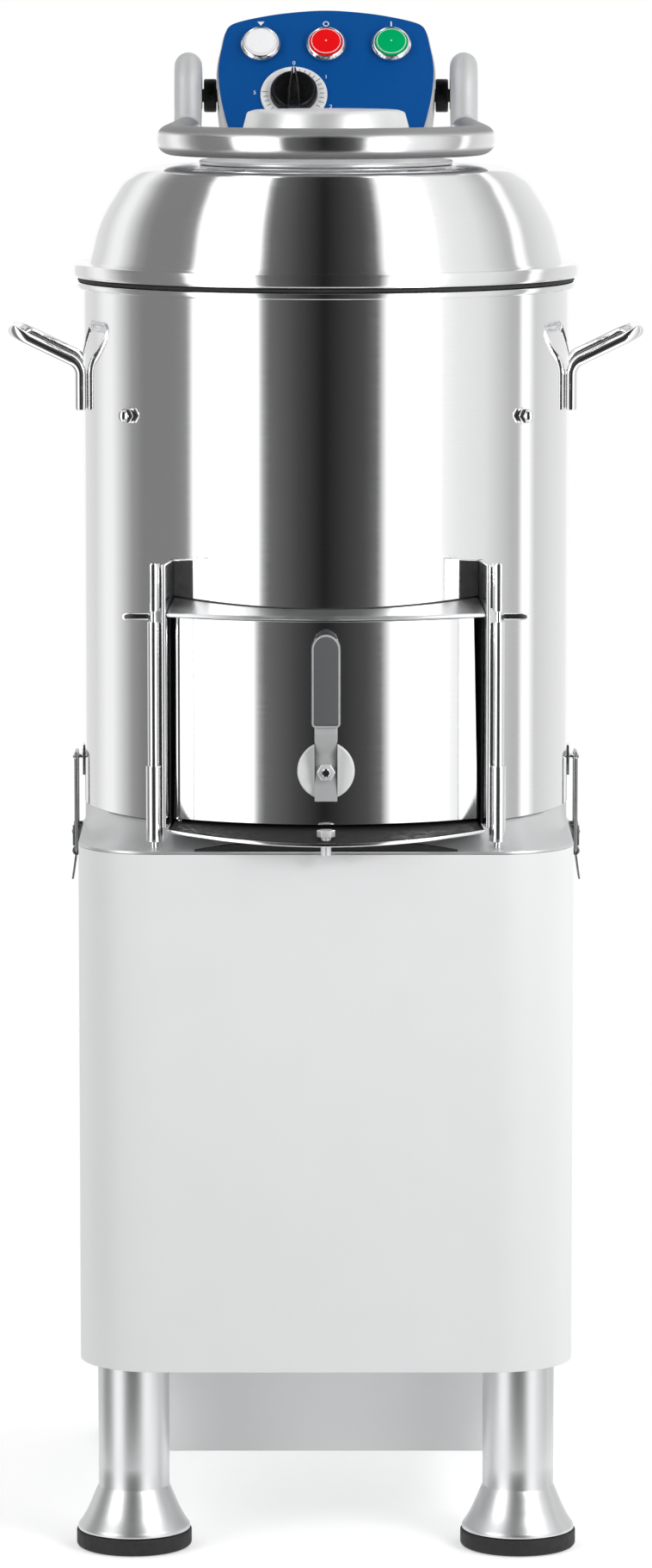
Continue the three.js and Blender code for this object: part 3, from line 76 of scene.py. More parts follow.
HEAD_TILT = math.radians(36)
HEAD_ORIGIN = (200.0, 1025.5)  # Y and Z of the tilted face's middle
LID_AXIS = (232.835, 1024.758)  # Y and Z of the line that the lid turns on
SIDES = (("left", -1), ("right", 1))


# Shapes


@dataclass
class Shell:
    """A surface in millimetres: its points and the faces that join them."""

    points: Array
    faces: list[Sequence[int]]

    def put(self, seat: "Seat") -> "Shell":
        """This shell, moved from a seat's own axes into the machine's frame."""
        axes = np.array([seat.x_axis, seat.y_axis, seat.z_axis])
        return Shell(np.asarray(seat.origin) + self.points @ axes, self.faces)

    def mirrored(self, side: int) -> "Shell":
        """This shell on the machine's right, for side 1, or reflected to its left, for side -1."""
        return Shell(self.points * np.array([side, 1, 1]), self.faces)


@dataclass(frozen=True)
class Seat:
    """A place in the machine: an origin and the three directions of a piece's own axes."""

    origin: Triple
    x_axis: Triple = (1, 0, 0)
    y_axis: Triple = (0, 1, 0)
    z_axis: Triple = (0, 0, 1)


def facing_front(x: float, y: float, z: float) -> Seat:
    """A seat whose Z axis points to the machine's front."""
    return Seat((x, y, z), (1, 0, 0), (0, 0, 1), (0, -1, 0))


def facing_right(x: float, y: float, z: float) -> Seat:
    """A seat whose Z axis points to the machine's right."""
    return Seat((x, y, z), (0, 1, 0), (0, 0, 1), (1, 0, 0))


def facing_rear(x: float, y: float, z: float) -> Seat:
    """A seat whose Z axis points to the machine's rear."""
    return Seat((x, y, z), (0, 0, 1), (1, 0, 0), (0, 1, 0))


def head_seat(x: float = 0.0, up: float = 0.0) -> Seat:
    """A seat on the tilted face, with Y up the face and Z out of it."""
    c, s = math.cos(HEAD_TILT), math.sin(HEAD_TILT)
    y, z = HEAD_ORIGIN
    return Seat((x, y + up * s, z + up * c), (1, 0, 0), (0, s, c), (0, -c, s))


DOOR_PIN = Seat((-102.6, -152.8, 0))  # the upright line that the door turns on


def grid_faces(rows: int, cols: int, close_rows: bool = False, close_cols: bool = False) -> Array:
    """Quads of a grid of points, row by row; a closed side joins its last line to its first."""
    r = np.arange(rows if close_rows else rows - 1)[:, None]
    c = np.arange(cols if close_cols else cols - 1)[None, :]
    down, along = (r + 1) % rows, (c + 1) % cols
    quads = np.stack([r * cols + c, r * cols + along, down * cols + along, down * cols + c], -1)
    return quads.reshape(-1, 4)


def unit(v: Array) -> Array:
    """Vectors scaled to length one."""
    return v / np.maximum(np.linalg.norm(v, axis=-1, keepdims=True), 1e-9)


def fillet(
    points: Points, radius: float | Sequence[float], steps: int = 5, closed: bool = False
) -> Array:
    """Corners of a polyline turned into arcs.

    Each arc lies between its two edges and touches both, at the reach radius / tan(half the corner's angle),
    which is held under half of the shorter edge.

    Args:
        points: the corners, in a plane or in space.
        radius: one radius, or one for each corner.
        steps: spans of each arc.
        closed: whether the last corner joins the first.

    Returns:
        The points of the rounded line.
    """
    p = np.asarray(points, float)
    r = np.broadcast_to(np.asarray(radius, float), (len(p),))
    at = p if closed else p[1:-1]
    size = (r if closed else r[1:-1])[:, None]
    before, after = (np.roll(p, 1, 0), np.roll(p, -1, 0)) if closed else (p[:-2], p[2:])
    u, v = unit(before - at), unit(after - at)
    half = np.arccos(np.clip((u * v).sum(-1, keepdims=True), -1, 1)) / 2
    half = np.clip(half, 1e-3, math.pi / 2 - 1e-3)
    room = 0.499 * np.minimum(np.linalg.norm(before - at, axis=-1), np.linalg.norm(after - at, axis=-1))
    reach = np.minimum(size / np.tan(half), room[:, None])
    turn = math.pi - 2 * half
    centre = at + unit(u + v) * reach / np.cos(half)
    a, b = at + u * reach - centre, at + v * reach - centre
    t = np.linspace(0, 1, steps + 1)[None, :, None]
    w = turn[:, None]
    arc = centre[:, None] + (np.sin((1 - t) * w) * a[:, None] + np.sin(t * w) * b[:, None]) / np.sin(w)
    line = arc.reshape(-1, p.shape[1])
    return line if closed else np.concatenate([p[:1], line, p[-1:]])


def curve_through(points: Points, spans: int = 8, closed: bool = False) -> Array:
    """A smooth line through all the points: a Catmull-Rom cubic on each span."""
    p = np.asarray(points, float)
    before, after = (p[-1:], p[:2]) if closed else (2 * p[:1] - p[1:2], 2 * p[-1:] - p[-2:-1])
    q = np.concatenate([before, p, after])
    t = np.linspace(0, 1, spans, endpoint=False)[None, :, None]
    a, b, c, d = (q[i : len(q) - 3 + i, None] for i in range(4))
    cubic = 0.5 * (2 * b + (c - a) * t + (2 * a - 5 * b + 4 * c - d) * t**2 + (3 * b - a - 3 * c + d) * t**3)
    line = cubic.reshape(-1, p.shape[1])
    return line if closed else np.concatenate([line, p[-1:]])


def lathe(profile: Points, segments: int = 96, closed: bool = False) -> Shell:
    """A profile of radius and height turned about Z: x = r cos a, y = r sin a."""
    rz = np.asarray(profile, float)
    angle = np.linspace(0, 2 * math.pi, segments, endpoint=False)
    circle = np.stack([np.cos(angle), np.sin(angle)], -1)
    xy = rz[:, None, :1] * circle[None]
    z = np.broadcast_to(rz[:, None, 1:], (len(rz), segments, 1))
    faces = grid_faces(len(rz), segments, closed, True)
    return Shell(np.concatenate([xy, z], -1).reshape(-1, 3), faces.tolist())


def path_frames(path: Array) -> tuple[Array, Array, Array]:
    """Directions along a path and two across it, carried from point to point with no twist."""
    along = unit(np.gradient(path, axis=0))
    first = np.cross(along[0], (1, 0, 0) if abs(along[0][0]) < 0.7 else (0, 1, 0))
    across = [unit(first)]
    for direction in along[1:]:
        kept = across[-1] - direction * float(across[-1] @ direction)
        across.append(unit(kept))
    side = np.array(across)
    return along, side, np.cross(along, side)


def spokes(angle: Array, side: Array, up: Array) -> Array:
    """Directions round each point of a path, at the given angles from its side direction."""
    return np.cos(angle)[None, :, None] * side[:, None] + np.sin(angle)[None, :, None] * up[:, None]


def tube(path: Array, radius: float, sides: int = 20, ends: float = 0.35) -> Shell:
    """A round bar along a path, each end rounded over by a share of its radius."""
    along, side, up = path_frames(path)
    shoulder = 0.3 * ends
    shrink = np.array([0.0, 1 - ends, 1 - shoulder])
    lift = np.array([0.0, 0.0, shoulder * radius])
    radii = np.concatenate([shrink, np.ones(len(path)), shrink[::-1]])
    first, last = path[:1] + along[:1] * lift[:, None], path[-1:] - along[-1:] * lift[::-1, None]
    centre = np.concatenate([first, path, last])
    centre[3] = path[0] + along[0] * ends * radius
    centre[-4] = path[-1] - along[-1] * ends * radius
    rows = np.concatenate([np.zeros(3, int), np.arange(len(path)), np.full(3, len(path) - 1)])
    angle = np.linspace(0, 2 * math.pi, sides, endpoint=False)
    spoke = spokes(angle, side[rows], up[rows])
    points = centre[:, None] + radius * radii[:, None, None] * spoke
    return Shell(points.reshape(-1, 3), grid_faces(len(radii), sides, False, True).tolist())


def pipe(path: Array, radius: float, bore: float, sides: int = 40) -> Shell:
    """A hollow bar along a path: an outer skin, a bore and a flat ring at each end."""
    _, side, up = path_frames(path)
    angle = np.linspace(0, 2 * math.pi, sides, endpoint=False)
    spoke = spokes(angle, side, up)
    skins = [path[:, None] + size * spoke for size in (radius, bore)]
    points = np.concatenate([skins[0], skins[1][::-1]]).reshape(-1, 3)
    return Shell(points, grid_faces(2 * len(path), sides, True, True).tolist())


def slab(
    outline: Points, low: float, high: float, edge: float = 0.5, steps: int = 3
) -> Shell:
    """A flat outline given a thickness, its two edges rounded.

    Ring k is the outline moved inwards by edge * (1 - cos a) as its height goes round a quarter circle.

    Args:
        outline: the closed line, in X and Y.
        low: height of the underside.
        high: height of the top.
        edge: radius of both rounded edges.
        steps: spans of each rounded edge.

    Returns:
        A closed shell.
    """
    p = np.asarray(outline, float)
    area = float(np.sum(p[:, 0] * np.roll(p[:, 1], -1) - np.roll(p[:, 0], -1) * p[:, 1]))
    p = p if area > 0 else p[::-1]
    edge = min(edge, (high - low) / 2.01)
    e1, e2 = unit(p - np.roll(p, 1, 0)), unit(np.roll(p, -1, 0) - p)
    n1, n2 = np.stack([e1[:, 1], -e1[:, 0]], -1), np.stack([e2[:, 1], -e2[:, 0]], -1)
    mitre = unit(n1 + n2)
    mitre = mitre / np.maximum((mitre * n1).sum(-1, keepdims=True), 0.5)
    turn = np.linspace(0, math.pi / 2, steps + 1)
    inset = np.concatenate([edge * (1 - np.sin(turn)), edge * (1 - np.cos(turn))])
    height = np.concatenate([low + edge * (1 - np.cos(turn)), high - edge * (1 - np.sin(turn))])
    xy = p[None] - mitre[None] * inset[:, None, None]
    z = np.broadcast_to(height[:, None, None], (*xy.shape[:2], 1))
    n, rows = len(p), len(inset)
    faces = grid_faces(rows, n, False, True).tolist()
    caps = [list(range(n))[::-1], list(range((rows - 1) * n, rows * n))]
    return Shell(np.concatenate([xy, z], -1).reshape(-1, 3), faces + caps)


def block(x0: float, x1: float, y0: float, y1: float, z0: float, z1: float, edge: float = 0.4) -> Shell:
    """A box with rounded corners and edges."""
    corners = [(x0, y0), (x1, y0), (x1, y1), (x0, y1)]
    return slab(fillet(corners, edge, 3, closed=True), z0, z1, edge, 2)


def across_x(profile: Points, width: float, edge: float = 0.5) -> Shell:
    """A profile of Y and Z given a width that is centred on X = 0."""
    return slab(profile, -width / 2, width / 2, edge).put(facing_right(0, 0, 0))


def sheet(upper: Array, lower: Array) -> Shell:
    """A closed sheet between two grids of points of the same size."""
    rows, cols = upper.shape[:2]
    index = np.arange(rows * cols).reshape(rows, cols)
    rim = np.concatenate([index[0, :-1], index[:-1, -1], index[-1, :0:-1], index[:0:-1, 0]])
    n = rows * cols
    faces = grid_faces(rows, cols).tolist() + (grid_faces(rows, cols)[:, ::-1] + n).tolist()
    after = np.roll(rim, -1)
    faces += np.stack([rim, rim + n, after + n, after], -1).tolist()
    return Shell(np.concatenate([upper.reshape(-1, 3), lower.reshape(-1, 3)]), faces)


def wall(plan: Array, inner: float, outer: float, low: float, high: float, edge: float = 0.5) -> Shell:
    """An upright wall along a plan line, between two offsets to its right, with rounded top and foot."""
    e = unit(np.gradient(plan, axis=0))
    normal = np.stack([e[:, 1], -e[:, 0]], -1)
    section = fillet([(inner, low), (outer, low), (outer, high), (inner, high)], edge, 3, closed=True)
    xy = plan[:, None] + normal[:, None] * section[None, :, :1]
    z = np.broadcast_to(section[None, :, 1:], (*xy.shape[:2], 1))
    n, rows = len(section), len(plan)
    faces = grid_faces(rows, n, False, True).tolist()
    caps = [list(range(n)), list(range((rows - 1) * n, rows * n))[::-1]]
    return Shell(np.concatenate([xy, z], -1).reshape(-1, 3), faces + caps)


def hexagon(flats: float) -> Array:
    """Corners of a hexagon by its width across the flats."""
    angle = np.arange(6) * math.pi / 3
    return flats / math.sqrt(3) * np.stack([np.cos(angle), np.sin(angle)], -1)


def nut(flats: float, low: float, high: float) -> Shell:
    """A hexagonal nut or bolt head with softened edges."""
    return slab(fillet(hexagon(flats), 0.6, 2, closed=True), low, high, 0.7)


def rod(radius: float, low: float, high: float, segments: int = 24) -> Shell:
    """A plain round bar about the Z axis."""
    return lathe([(0, low), (radius, low), (radius, high), (0, high)], segments)


def ring(
    inner: float, outer: float, low: float, high: float, soft: float | Sequence[float] = 0.5, steps: int = 3,
    segments: int = 40,
) -> Shell:
    """A ring about the Z axis with rounded edges.

    Args:
        inner: radius of its bore.
        outer: its outer radius.
        low: height of its underside.
        high: height of its top.
        soft: one radius for the edges, or one for each, from the bore's foot outwards, up and back.
        steps: spans of each rounded edge.
        segments: spans round the ring.

    Returns:
        A closed shell.
    """
    profile = [(inner, low), (outer, low), (outer, high), (inner, high)]
    return lathe(fillet(profile, soft, steps, closed=True), segments, closed=True)


# Finishes


class Grain(Enum):
    """How the fine marks of a surface run: the stretch of their pattern along X, Y and Z."""

    ROUND = (1.0, 1.0, 14.0)
    UPRIGHT = (14.0, 14.0, 1.0)
    EVEN = (1.0, 1.0, 1.0)


COAT_ROUGHNESS = 0.06
FINE_DETAIL = 3.0
BROAD_SCALE, BROAD_DETAIL = 5.0, 4.0
FINE_SPAN, BROAD_SPAN = (0.3, 0.7), (0.35, 0.75)
SMEAR = 0.12
# Painted shade: away from a finish's height middle its colour is mixed towards this dark grey over this span,
# and its roughness rises.
PAINTED_SHADE_SPAN = (0.33, 0.66)
PAINTED_SHADE_COLOUR = (0.14, 0.14, 0.143, 1)
DULL_ROUGHNESS = 0.7


@dataclass(frozen=True)
class Finish:
    """A surface finish.

    It has two tones, a span of roughness and the scale and depth of its grain. Turned is how far a highlight
    is drawn out round the upright axis. Away from the height middle, in metres, the surface gets darker, a
    painted shade, and rougher by dulled: from a third of reach onwards, and fully from two
    thirds.
    """

    name: str
    slot: str
    tone: Triple
    shade: Triple
    rough: Pair = (0.3, 0.4)
    metallic: float = 0.0
    grain: Grain = Grain.EVEN
    scale: float = 60.0
    depth: float = 0.02
    smudge: float = 0.5
    coat: float = 0.0
    glow: float = 0.0
    specular: float = 0.5
    turned: float = 0.0
    middle: float = 0.0
    reach: float = 1.0
    dulled: float = 0.0

    def material(self) -> bpy.types.Material:
        """The finish's material, built on its first use.

        Returns:
            A Principled material whose colour, roughness and bump come from the shared surface group.
        """
        found = bpy.data.materials.get(self.name)
        if found:
            return found
        made = bpy.data.materials.new(self.name)
        made.use_nodes = True
        nodes, links = made.node_tree.nodes, made.node_tree.links
        shader = nodes["Principled BSDF"]
        shader.inputs["Metallic"].default_value = self.metallic
        shader.inputs["Specular IOR Level"].default_value = self.specular
        if self.turned:
            around = nodes.new("ShaderNodeTangent")
            around.direction_type, around.axis = "RADIAL", "Z"
            links.new(around.outputs[0], shader.inputs["Tangent"])
            shader.inputs["Anisotropic"].default_value = self.turned
        if self.coat:
            shader.inputs["Coat Weight"].default_value = self.coat
            shader.inputs["Coat Roughness"].default_value = COAT_ROUGHNESS
        # The button lenses use glow to give off light of their own tone: a painted glow, as they are no
        # lamps.
        if self.glow:
            shader.inputs["Emission Color"].default_value = (*self.tone, 1)
            shader.inputs["Emission Strength"].default_value = self.glow
        place = nodes.new("ShaderNodeTexCoord")
        marks = nodes.new("ShaderNodeGroup")
        marks.node_tree = surface_group()
        values = {
            "Stretch": self.grain.value, "Scale": self.scale, "Low": self.rough[0], "High": self.rough[1],
            "Smudge": self.smudge, "Tone": (*self.tone, 1), "Shade": (*self.shade, 1), "Middle": self.middle,
            "Reach": self.reach, "Painted Shade And Dulling": self.dulled,
        }
        for socket, value in values.items():
            marks.inputs[socket].default_value = value
        bump = nodes.new("ShaderNodeBump")
        bump.inputs["Strength"].default_value = self.depth
        bump.inputs["Distance"].default_value = MM
        links.new(place.outputs["Object"], marks.inputs["Vector"])
        links.new(marks.outputs["Color"], shader.inputs["Base Color"])
        links.new(marks.outputs["Roughness"], shader.inputs["Roughness"])
        links.new(marks.outputs["Height"], bump.inputs["Height"])
        links.new(bump.outputs["Normal"], shader.inputs["Normal"])
        return made


def math_node(nodes: bpy.types.Nodes, operation: str) -> bpy.types.Node:
    """A new maths node."""
    made = nodes.new("ShaderNodeMath")
    made.operation = operation
    return made


def range_node(nodes: bpy.types.Nodes, low: float, high: float) -> bpy.types.Node:
    """A new node that maps a span of values, at first to 0 and 1."""
    made = nodes.new("ShaderNodeMapRange")
    made.inputs["From Min"].default_value, made.inputs["From Max"].default_value = low, high
    return made


def colour_mix(nodes: bpy.types.Nodes) -> bpy.types.Node:
    """A new node that mixes the colours on inputs 6 and 7 by the share on input 0, out of output 2."""
    made = nodes.new("ShaderNodeMix")
    made.data_type = "RGBA"
    return made


def surface_group() -> bpy.types.NodeTree:
    """The shared group of fine grain and broad smudges.

    A stretched noise gives the grain, a wide one the smudges. Colour goes from Shade to Tone by their mean,
    and roughness from Low to High by the grain, with the smudges added. Above and below the height Middle a
    mask rises from 0 at a third of Reach to 1 at two thirds; by Painted Shade And Dulling times the mask the
    colour gets darker, a painted shade, and the surface rougher.

    Returns:
        The group, with inputs Vector, Stretch, Scale, Low, High, Smudge, Tone, Shade, Middle, Reach and
        Painted Shade And Dulling and outputs Color, Roughness and Height.
    """
    found = bpy.data.node_groups.get("worked_surface")
    if found:
        return found
    group = bpy.data.node_groups.new("worked_surface", "ShaderNodeTree")
    kinds = {
        "Vector": "Vector", "Stretch": "Vector", "Scale": "Float", "Low": "Float", "High": "Float",
        "Smudge": "Float", "Tone": "Color", "Shade": "Color", "Middle": "Float", "Reach": "Float",
        "Painted Shade And Dulling": "Float",
    }
    for name, kind in kinds.items():
        group.interface.new_socket(name, in_out="INPUT", socket_type=f"NodeSocket{kind}")
    for name, kind in {"Color": "Color", "Roughness": "Float", "Height": "Float"}.items():
        group.interface.new_socket(name, in_out="OUTPUT", socket_type=f"NodeSocket{kind}")
    nodes, links = group.nodes, group.links
    given, result = nodes.new("NodeGroupInput").outputs, nodes.new("NodeGroupOutput").inputs
    stretch, split = nodes.new("ShaderNodeVectorMath"), nodes.new("ShaderNodeSeparateXYZ")
    stretch.operation = "MULTIPLY"
    fine, broad = nodes.new("ShaderNodeTexNoise"), nodes.new("ShaderNodeTexNoise")
    fine.inputs["Detail"].default_value = FINE_DETAIL
    broad.inputs["Scale"].default_value = BROAD_SCALE
    broad.inputs["Detail"].default_value = BROAD_DETAIL
    spread, patch, mask = (range_node(nodes, *span) for span in (FINE_SPAN, BROAD_SPAN, PAINTED_SHADE_SPAN))
    patch.inputs["To Max"].default_value = SMEAR
    mask.interpolation_type = "SMOOTHSTEP"
    smear, half = math_node(nodes, "MULTIPLY"), math_node(nodes, "MULTIPLY")
    half.inputs[1].default_value = 0.5
    total, both = math_node(nodes, "ADD"), math_node(nodes, "ADD")
    away, size, share = (math_node(nodes, name) for name in ("SUBTRACT", "ABSOLUTE", "DIVIDE"))
    rougher = math_node(nodes, "MULTIPLY_ADD")
    rougher.inputs[1].default_value = DULL_ROUGHNESS
    # dim mixes the colour towards the dark grey by the mask: painted shade.
    blend, dim = colour_mix(nodes), colour_mix(nodes)
    dim.inputs[7].default_value = PAINTED_SHADE_COLOUR
    pairs = (
        (given["Vector"], stretch.inputs[0]), (given["Stretch"], stretch.inputs[1]),
        (stretch.outputs[0], fine.inputs["Vector"]), (given["Scale"], fine.inputs["Scale"]),
        (given["Vector"], broad.inputs["Vector"]), (fine.outputs[0], spread.inputs["Value"]),
        (given["Low"], spread.inputs["To Min"]), (given["High"], spread.inputs["To Max"]),
        (broad.outputs[0], patch.inputs["Value"]), (patch.outputs[0], smear.inputs[0]),
        (given["Smudge"], smear.inputs[1]), (spread.outputs[0], total.inputs[0]),
        (smear.outputs[0], total.inputs[1]), (fine.outputs[0], both.inputs[0]),
        (broad.outputs[0], both.inputs[1]), (both.outputs[0], half.inputs[0]),
        (half.outputs[0], blend.inputs[0]), (given["Shade"], blend.inputs[6]),
        (given["Tone"], blend.inputs[7]), (given["Vector"], split.inputs[0]),
        (split.outputs["Z"], away.inputs[0]), (given["Middle"], away.inputs[1]),
        (away.outputs[0], size.inputs[0]), (size.outputs[0], share.inputs[0]),
        (given["Reach"], share.inputs[1]), (share.outputs[0], mask.inputs["Value"]),
        (given["Painted Shade And Dulling"], mask.inputs["To Max"]), (mask.outputs[0], dim.inputs[0]),
        (blend.outputs[2], dim.inputs[6]), (mask.outputs[0], rougher.inputs[0]),
        (total.outputs[0], rougher.inputs[2]), (dim.outputs[2], result["Color"]),
        (rougher.outputs[0], result["Roughness"]), (fine.outputs[0], result["Height"]),
    )
    for start, end in pairs:
        links.new(start, end)
    return group


POLISHED = Finish(
    "polished_drum_steel", "polished_steel", (0.95, 0.95, 0.955), (0.88, 0.885, 0.89), (0.05, 0.09), 1.0,
    Grain.ROUND, 90, 0.006, 0.3,
)
POLISHED_FLAT = Finish(
    "polished_plate_steel", "polished_steel", (0.92, 0.92, 0.925), (0.85, 0.855, 0.86), (0.08, 0.16), 1.0,
    Grain.UPRIGHT, 60, 0.01,
)
POLISHED_ROD = Finish(
    "polished_rod_steel", "polished_steel", (0.92, 0.92, 0.93), (0.9, 0.9, 0.91), (0.06, 0.1), 1.0,
    Grain.EVEN, 60, 0.001,
)
# The handle ring's steel, darker and rougher above and below the tube's middle height: the darkening is
# painted shade for the dimmer reflections on its top and underside.
POLISHED_LOOP = Finish(
    "polished_loop_steel", "polished_steel", (0.92, 0.92, 0.93), (0.9, 0.9, 0.91), (0.06, 0.1), 1.0,
    Grain.EVEN, 60, 0.001, middle=0.999, reach=0.0109, dulled=0.68,
)
HOOD_STEEL = Finish(
    "brushed_hood_steel", "polished_steel", (0.8, 0.805, 0.81), (0.7, 0.705, 0.71), (0.24, 0.32), 1.0,
    Grain.EVEN, 90, 0.02,
)
SPRING = Finish(
    "dark_spring_steel", "zinc", (0.34, 0.345, 0.35), (0.24, 0.245, 0.25), (0.16, 0.26), 1.0,
    Grain.EVEN, 120, 0.03,
)
# The cabinet's sheet made paler for the guard, which stands in the cabinet's shade: painted light.
GUARD_SHEET_PAINTED_LIGHT = Finish(
    "guard_sheet_painted_light", "sheet_steel", (0.97, 0.975, 0.98), (0.93, 0.935, 0.94), (0.42, 0.52), 0.0,
    Grain.EVEN, 30, 0.006, 0.3,
)
SATIN = Finish(
    "satin_plain_steel", "satin_steel", (0.84, 0.845, 0.85), (0.825, 0.83, 0.835), (0.26, 0.3), 1.0,
    Grain.UPRIGHT, 30, 0.0005, 0.2,
)
TURNED = Finish(
    "turned_leg_steel", "satin_steel", (0.73, 0.735, 0.74), (0.71, 0.715, 0.72), (0.32, 0.34), 1.0,
    Grain.ROUND, 30, 0.0005, 0.2, turned=0.3,
)
SATIN_CAP = Finish(
    "brushed_cap_steel", "polished_steel", (0.95, 0.95, 0.955), (0.92, 0.925, 0.93), (0.3, 0.36), 0.55,
    Grain.ROUND, 60, 0.002,
)
SATIN_ARM = Finish(
    "blasted_arm_steel", "satin_steel", (0.68, 0.685, 0.69), (0.64, 0.645, 0.65), (0.5, 0.6), 0.4,
    Grain.EVEN, 200, 0.01,
)
DECK_STEEL = Finish(
    "satin_deck_steel", "satin_steel", (0.74, 0.745, 0.75), (0.7, 0.705, 0.71), (0.3, 0.36), 0.7,
    Grain.EVEN, 40, 0.01,
)
SHEET = Finish(
    "matt_cabinet_sheet", "sheet_steel", (0.88, 0.885, 0.89), (0.84, 0.845, 0.85), (0.42, 0.52), 0.0,
    Grain.EVEN, 30, 0.006, 0.3,
)
ZINC = Finish(
    "zinc_plate", "zinc", (0.74, 0.745, 0.75), (0.62, 0.625, 0.63), (0.22, 0.34), 1.0, Grain.EVEN, 90, 0.04,
)
PALE_ZINC = Finish(
    "pale_zinc_plate", "zinc", (0.84, 0.845, 0.85), (0.76, 0.765, 0.77), (0.34, 0.42), 0.5,
    Grain.EVEN, 90, 0.01,
)
LEVER_STEEL = Finish(
    "blasted_lever_steel", "zinc", (0.56, 0.565, 0.57), (0.48, 0.485, 0.49), (0.42, 0.52), 0.3,
    Grain.EVEN, 160, 0.06,
)
NYLON = Finish(
    "white_nylon", "zinc", (0.86, 0.865, 0.87), (0.8, 0.805, 0.81), (0.35, 0.45), 0.0, Grain.EVEN, 120, 0.02,
)
BEZEL = Finish(
    "button_bezel_metal", "zinc", (0.9, 0.9, 0.91), (0.8, 0.8, 0.81), (0.1, 0.18), 1.0, Grain.EVEN, 90, 0.01,
)
CAST = Finish(
    "rough_casting", "cast_metal", (0.42, 0.43, 0.44), (0.3, 0.31, 0.32), (0.45, 0.62), 1.0,
    Grain.EVEN, 160, 0.25,
)
# Dark rubber for the feet, the seal and the belt; the chute's dark sheets, strip and bead use it too, as
# painted shade and painted shadow.
RUBBER_AND_PAINTED_SHADE = Finish(
    "rubber_and_painted_shade", "rubber", (0.018, 0.018, 0.02), (0.01, 0.01, 0.011), (0.55, 0.7), 0.0,
    Grain.EVEN, 220, 0.12,
)
BLACK = Finish(
    "black_knob_plastic", "black_plastic", (0.006, 0.006, 0.0065), (0.003, 0.003, 0.0035), (0.24, 0.34), 0.0,
    Grain.EVEN, 200, 0.05, specular=0.22,
)
BLUE = Finish(
    "blue_face_film", "blue_plate", (0.001, 0.096, 0.37), (0.0005, 0.07, 0.29), (0.42, 0.52), 0.0,
    Grain.EVEN, 320, 0.08, specular=0.1,
)
HOUSING = Finish(
    "grey_housing_paint", "grey_housing", (0.62, 0.63, 0.64), (0.55, 0.56, 0.57), (0.4, 0.5), 0.0,
    Grain.EVEN, 240, 0.08,
)
GRIP = Finish(
    "grey_grip_sleeve", "grey_grip", (0.12, 0.122, 0.126), (0.1, 0.102, 0.105), (0.42, 0.55), 0.0,
    Grain.EVEN, 200, 0.06, specular=0.3,
)
# A pale tube round the grip's front edge: a painted highlight on the rounded edge.
GRIP_PAINTED_HIGHLIGHT = Finish(
    "pale_grip_painted_highlight", "grey_grip", (0.5, 0.51, 0.52), (0.42, 0.43, 0.44), (0.35, 0.45), 0.0,
    Grain.EVEN, 200, 0.03,
)
GRIT = Finish(
    "abrasive_grit", "abrasive", (0.12, 0.11, 0.1), (0.03, 0.028, 0.026), (0.8, 0.95), 0.0,
    Grain.EVEN, 420, 0.9,
)
MOTOR_PAINT = Finish(
    "painted_motor", "motor_paint", (0.09, 0.13, 0.17), (0.06, 0.09, 0.12), (0.4, 0.55), 0.0,
    Grain.EVEN, 140, 0.12,
)
DIAL = Finish(
    "dial_ring_metal", "dial_ring", (0.95, 0.955, 0.96), (0.9, 0.905, 0.91), (0.3, 0.4), 0.0,
    Grain.EVEN, 120, 0.02, specular=0.3,
)
# The three button lenses glow faintly in their own tone by their glow value, the second last number: a
# painted glow, as they are no lamps.
WHITE_LENS = Finish(
    "white_lens_plastic", "white_lens", (0.93, 0.93, 0.94), (0.88, 0.88, 0.89), (0.16, 0.24), 0.0,
    Grain.EVEN, 80, 0.01, 0.4, 0.0, 0.08, 0.08,
)
RED_LENS = Finish(
    "red_lens_plastic", "red_lens", (0.84, 0.008, 0.01), (0.74, 0.006, 0.008), (0.16, 0.24), 0.0,
    Grain.EVEN, 80, 0.01, 0.4, 0.0, 0.12, 0.08,
)
GREEN_LENS = Finish(
    "green_lens_plastic", "green_lens", (0.0, 0.44, 0.14), (0.0, 0.36, 0.11), (0.16, 0.24), 0.0,
    Grain.EVEN, 80, 0.01, 0.4, 0.0, 0.08, 0.08,
)
WHITE_MARK = Finish("white_print_and_painted_glint", "white_lens", (0.9, 0.91, 0.93), (0.86, 0.87, 0.9), (0.4, 0.5))
BLACK_MARK = Finish("black_print", "black_plastic", (0.03, 0.03, 0.032), (0.02, 0.02, 0.022), (0.4, 0.5))


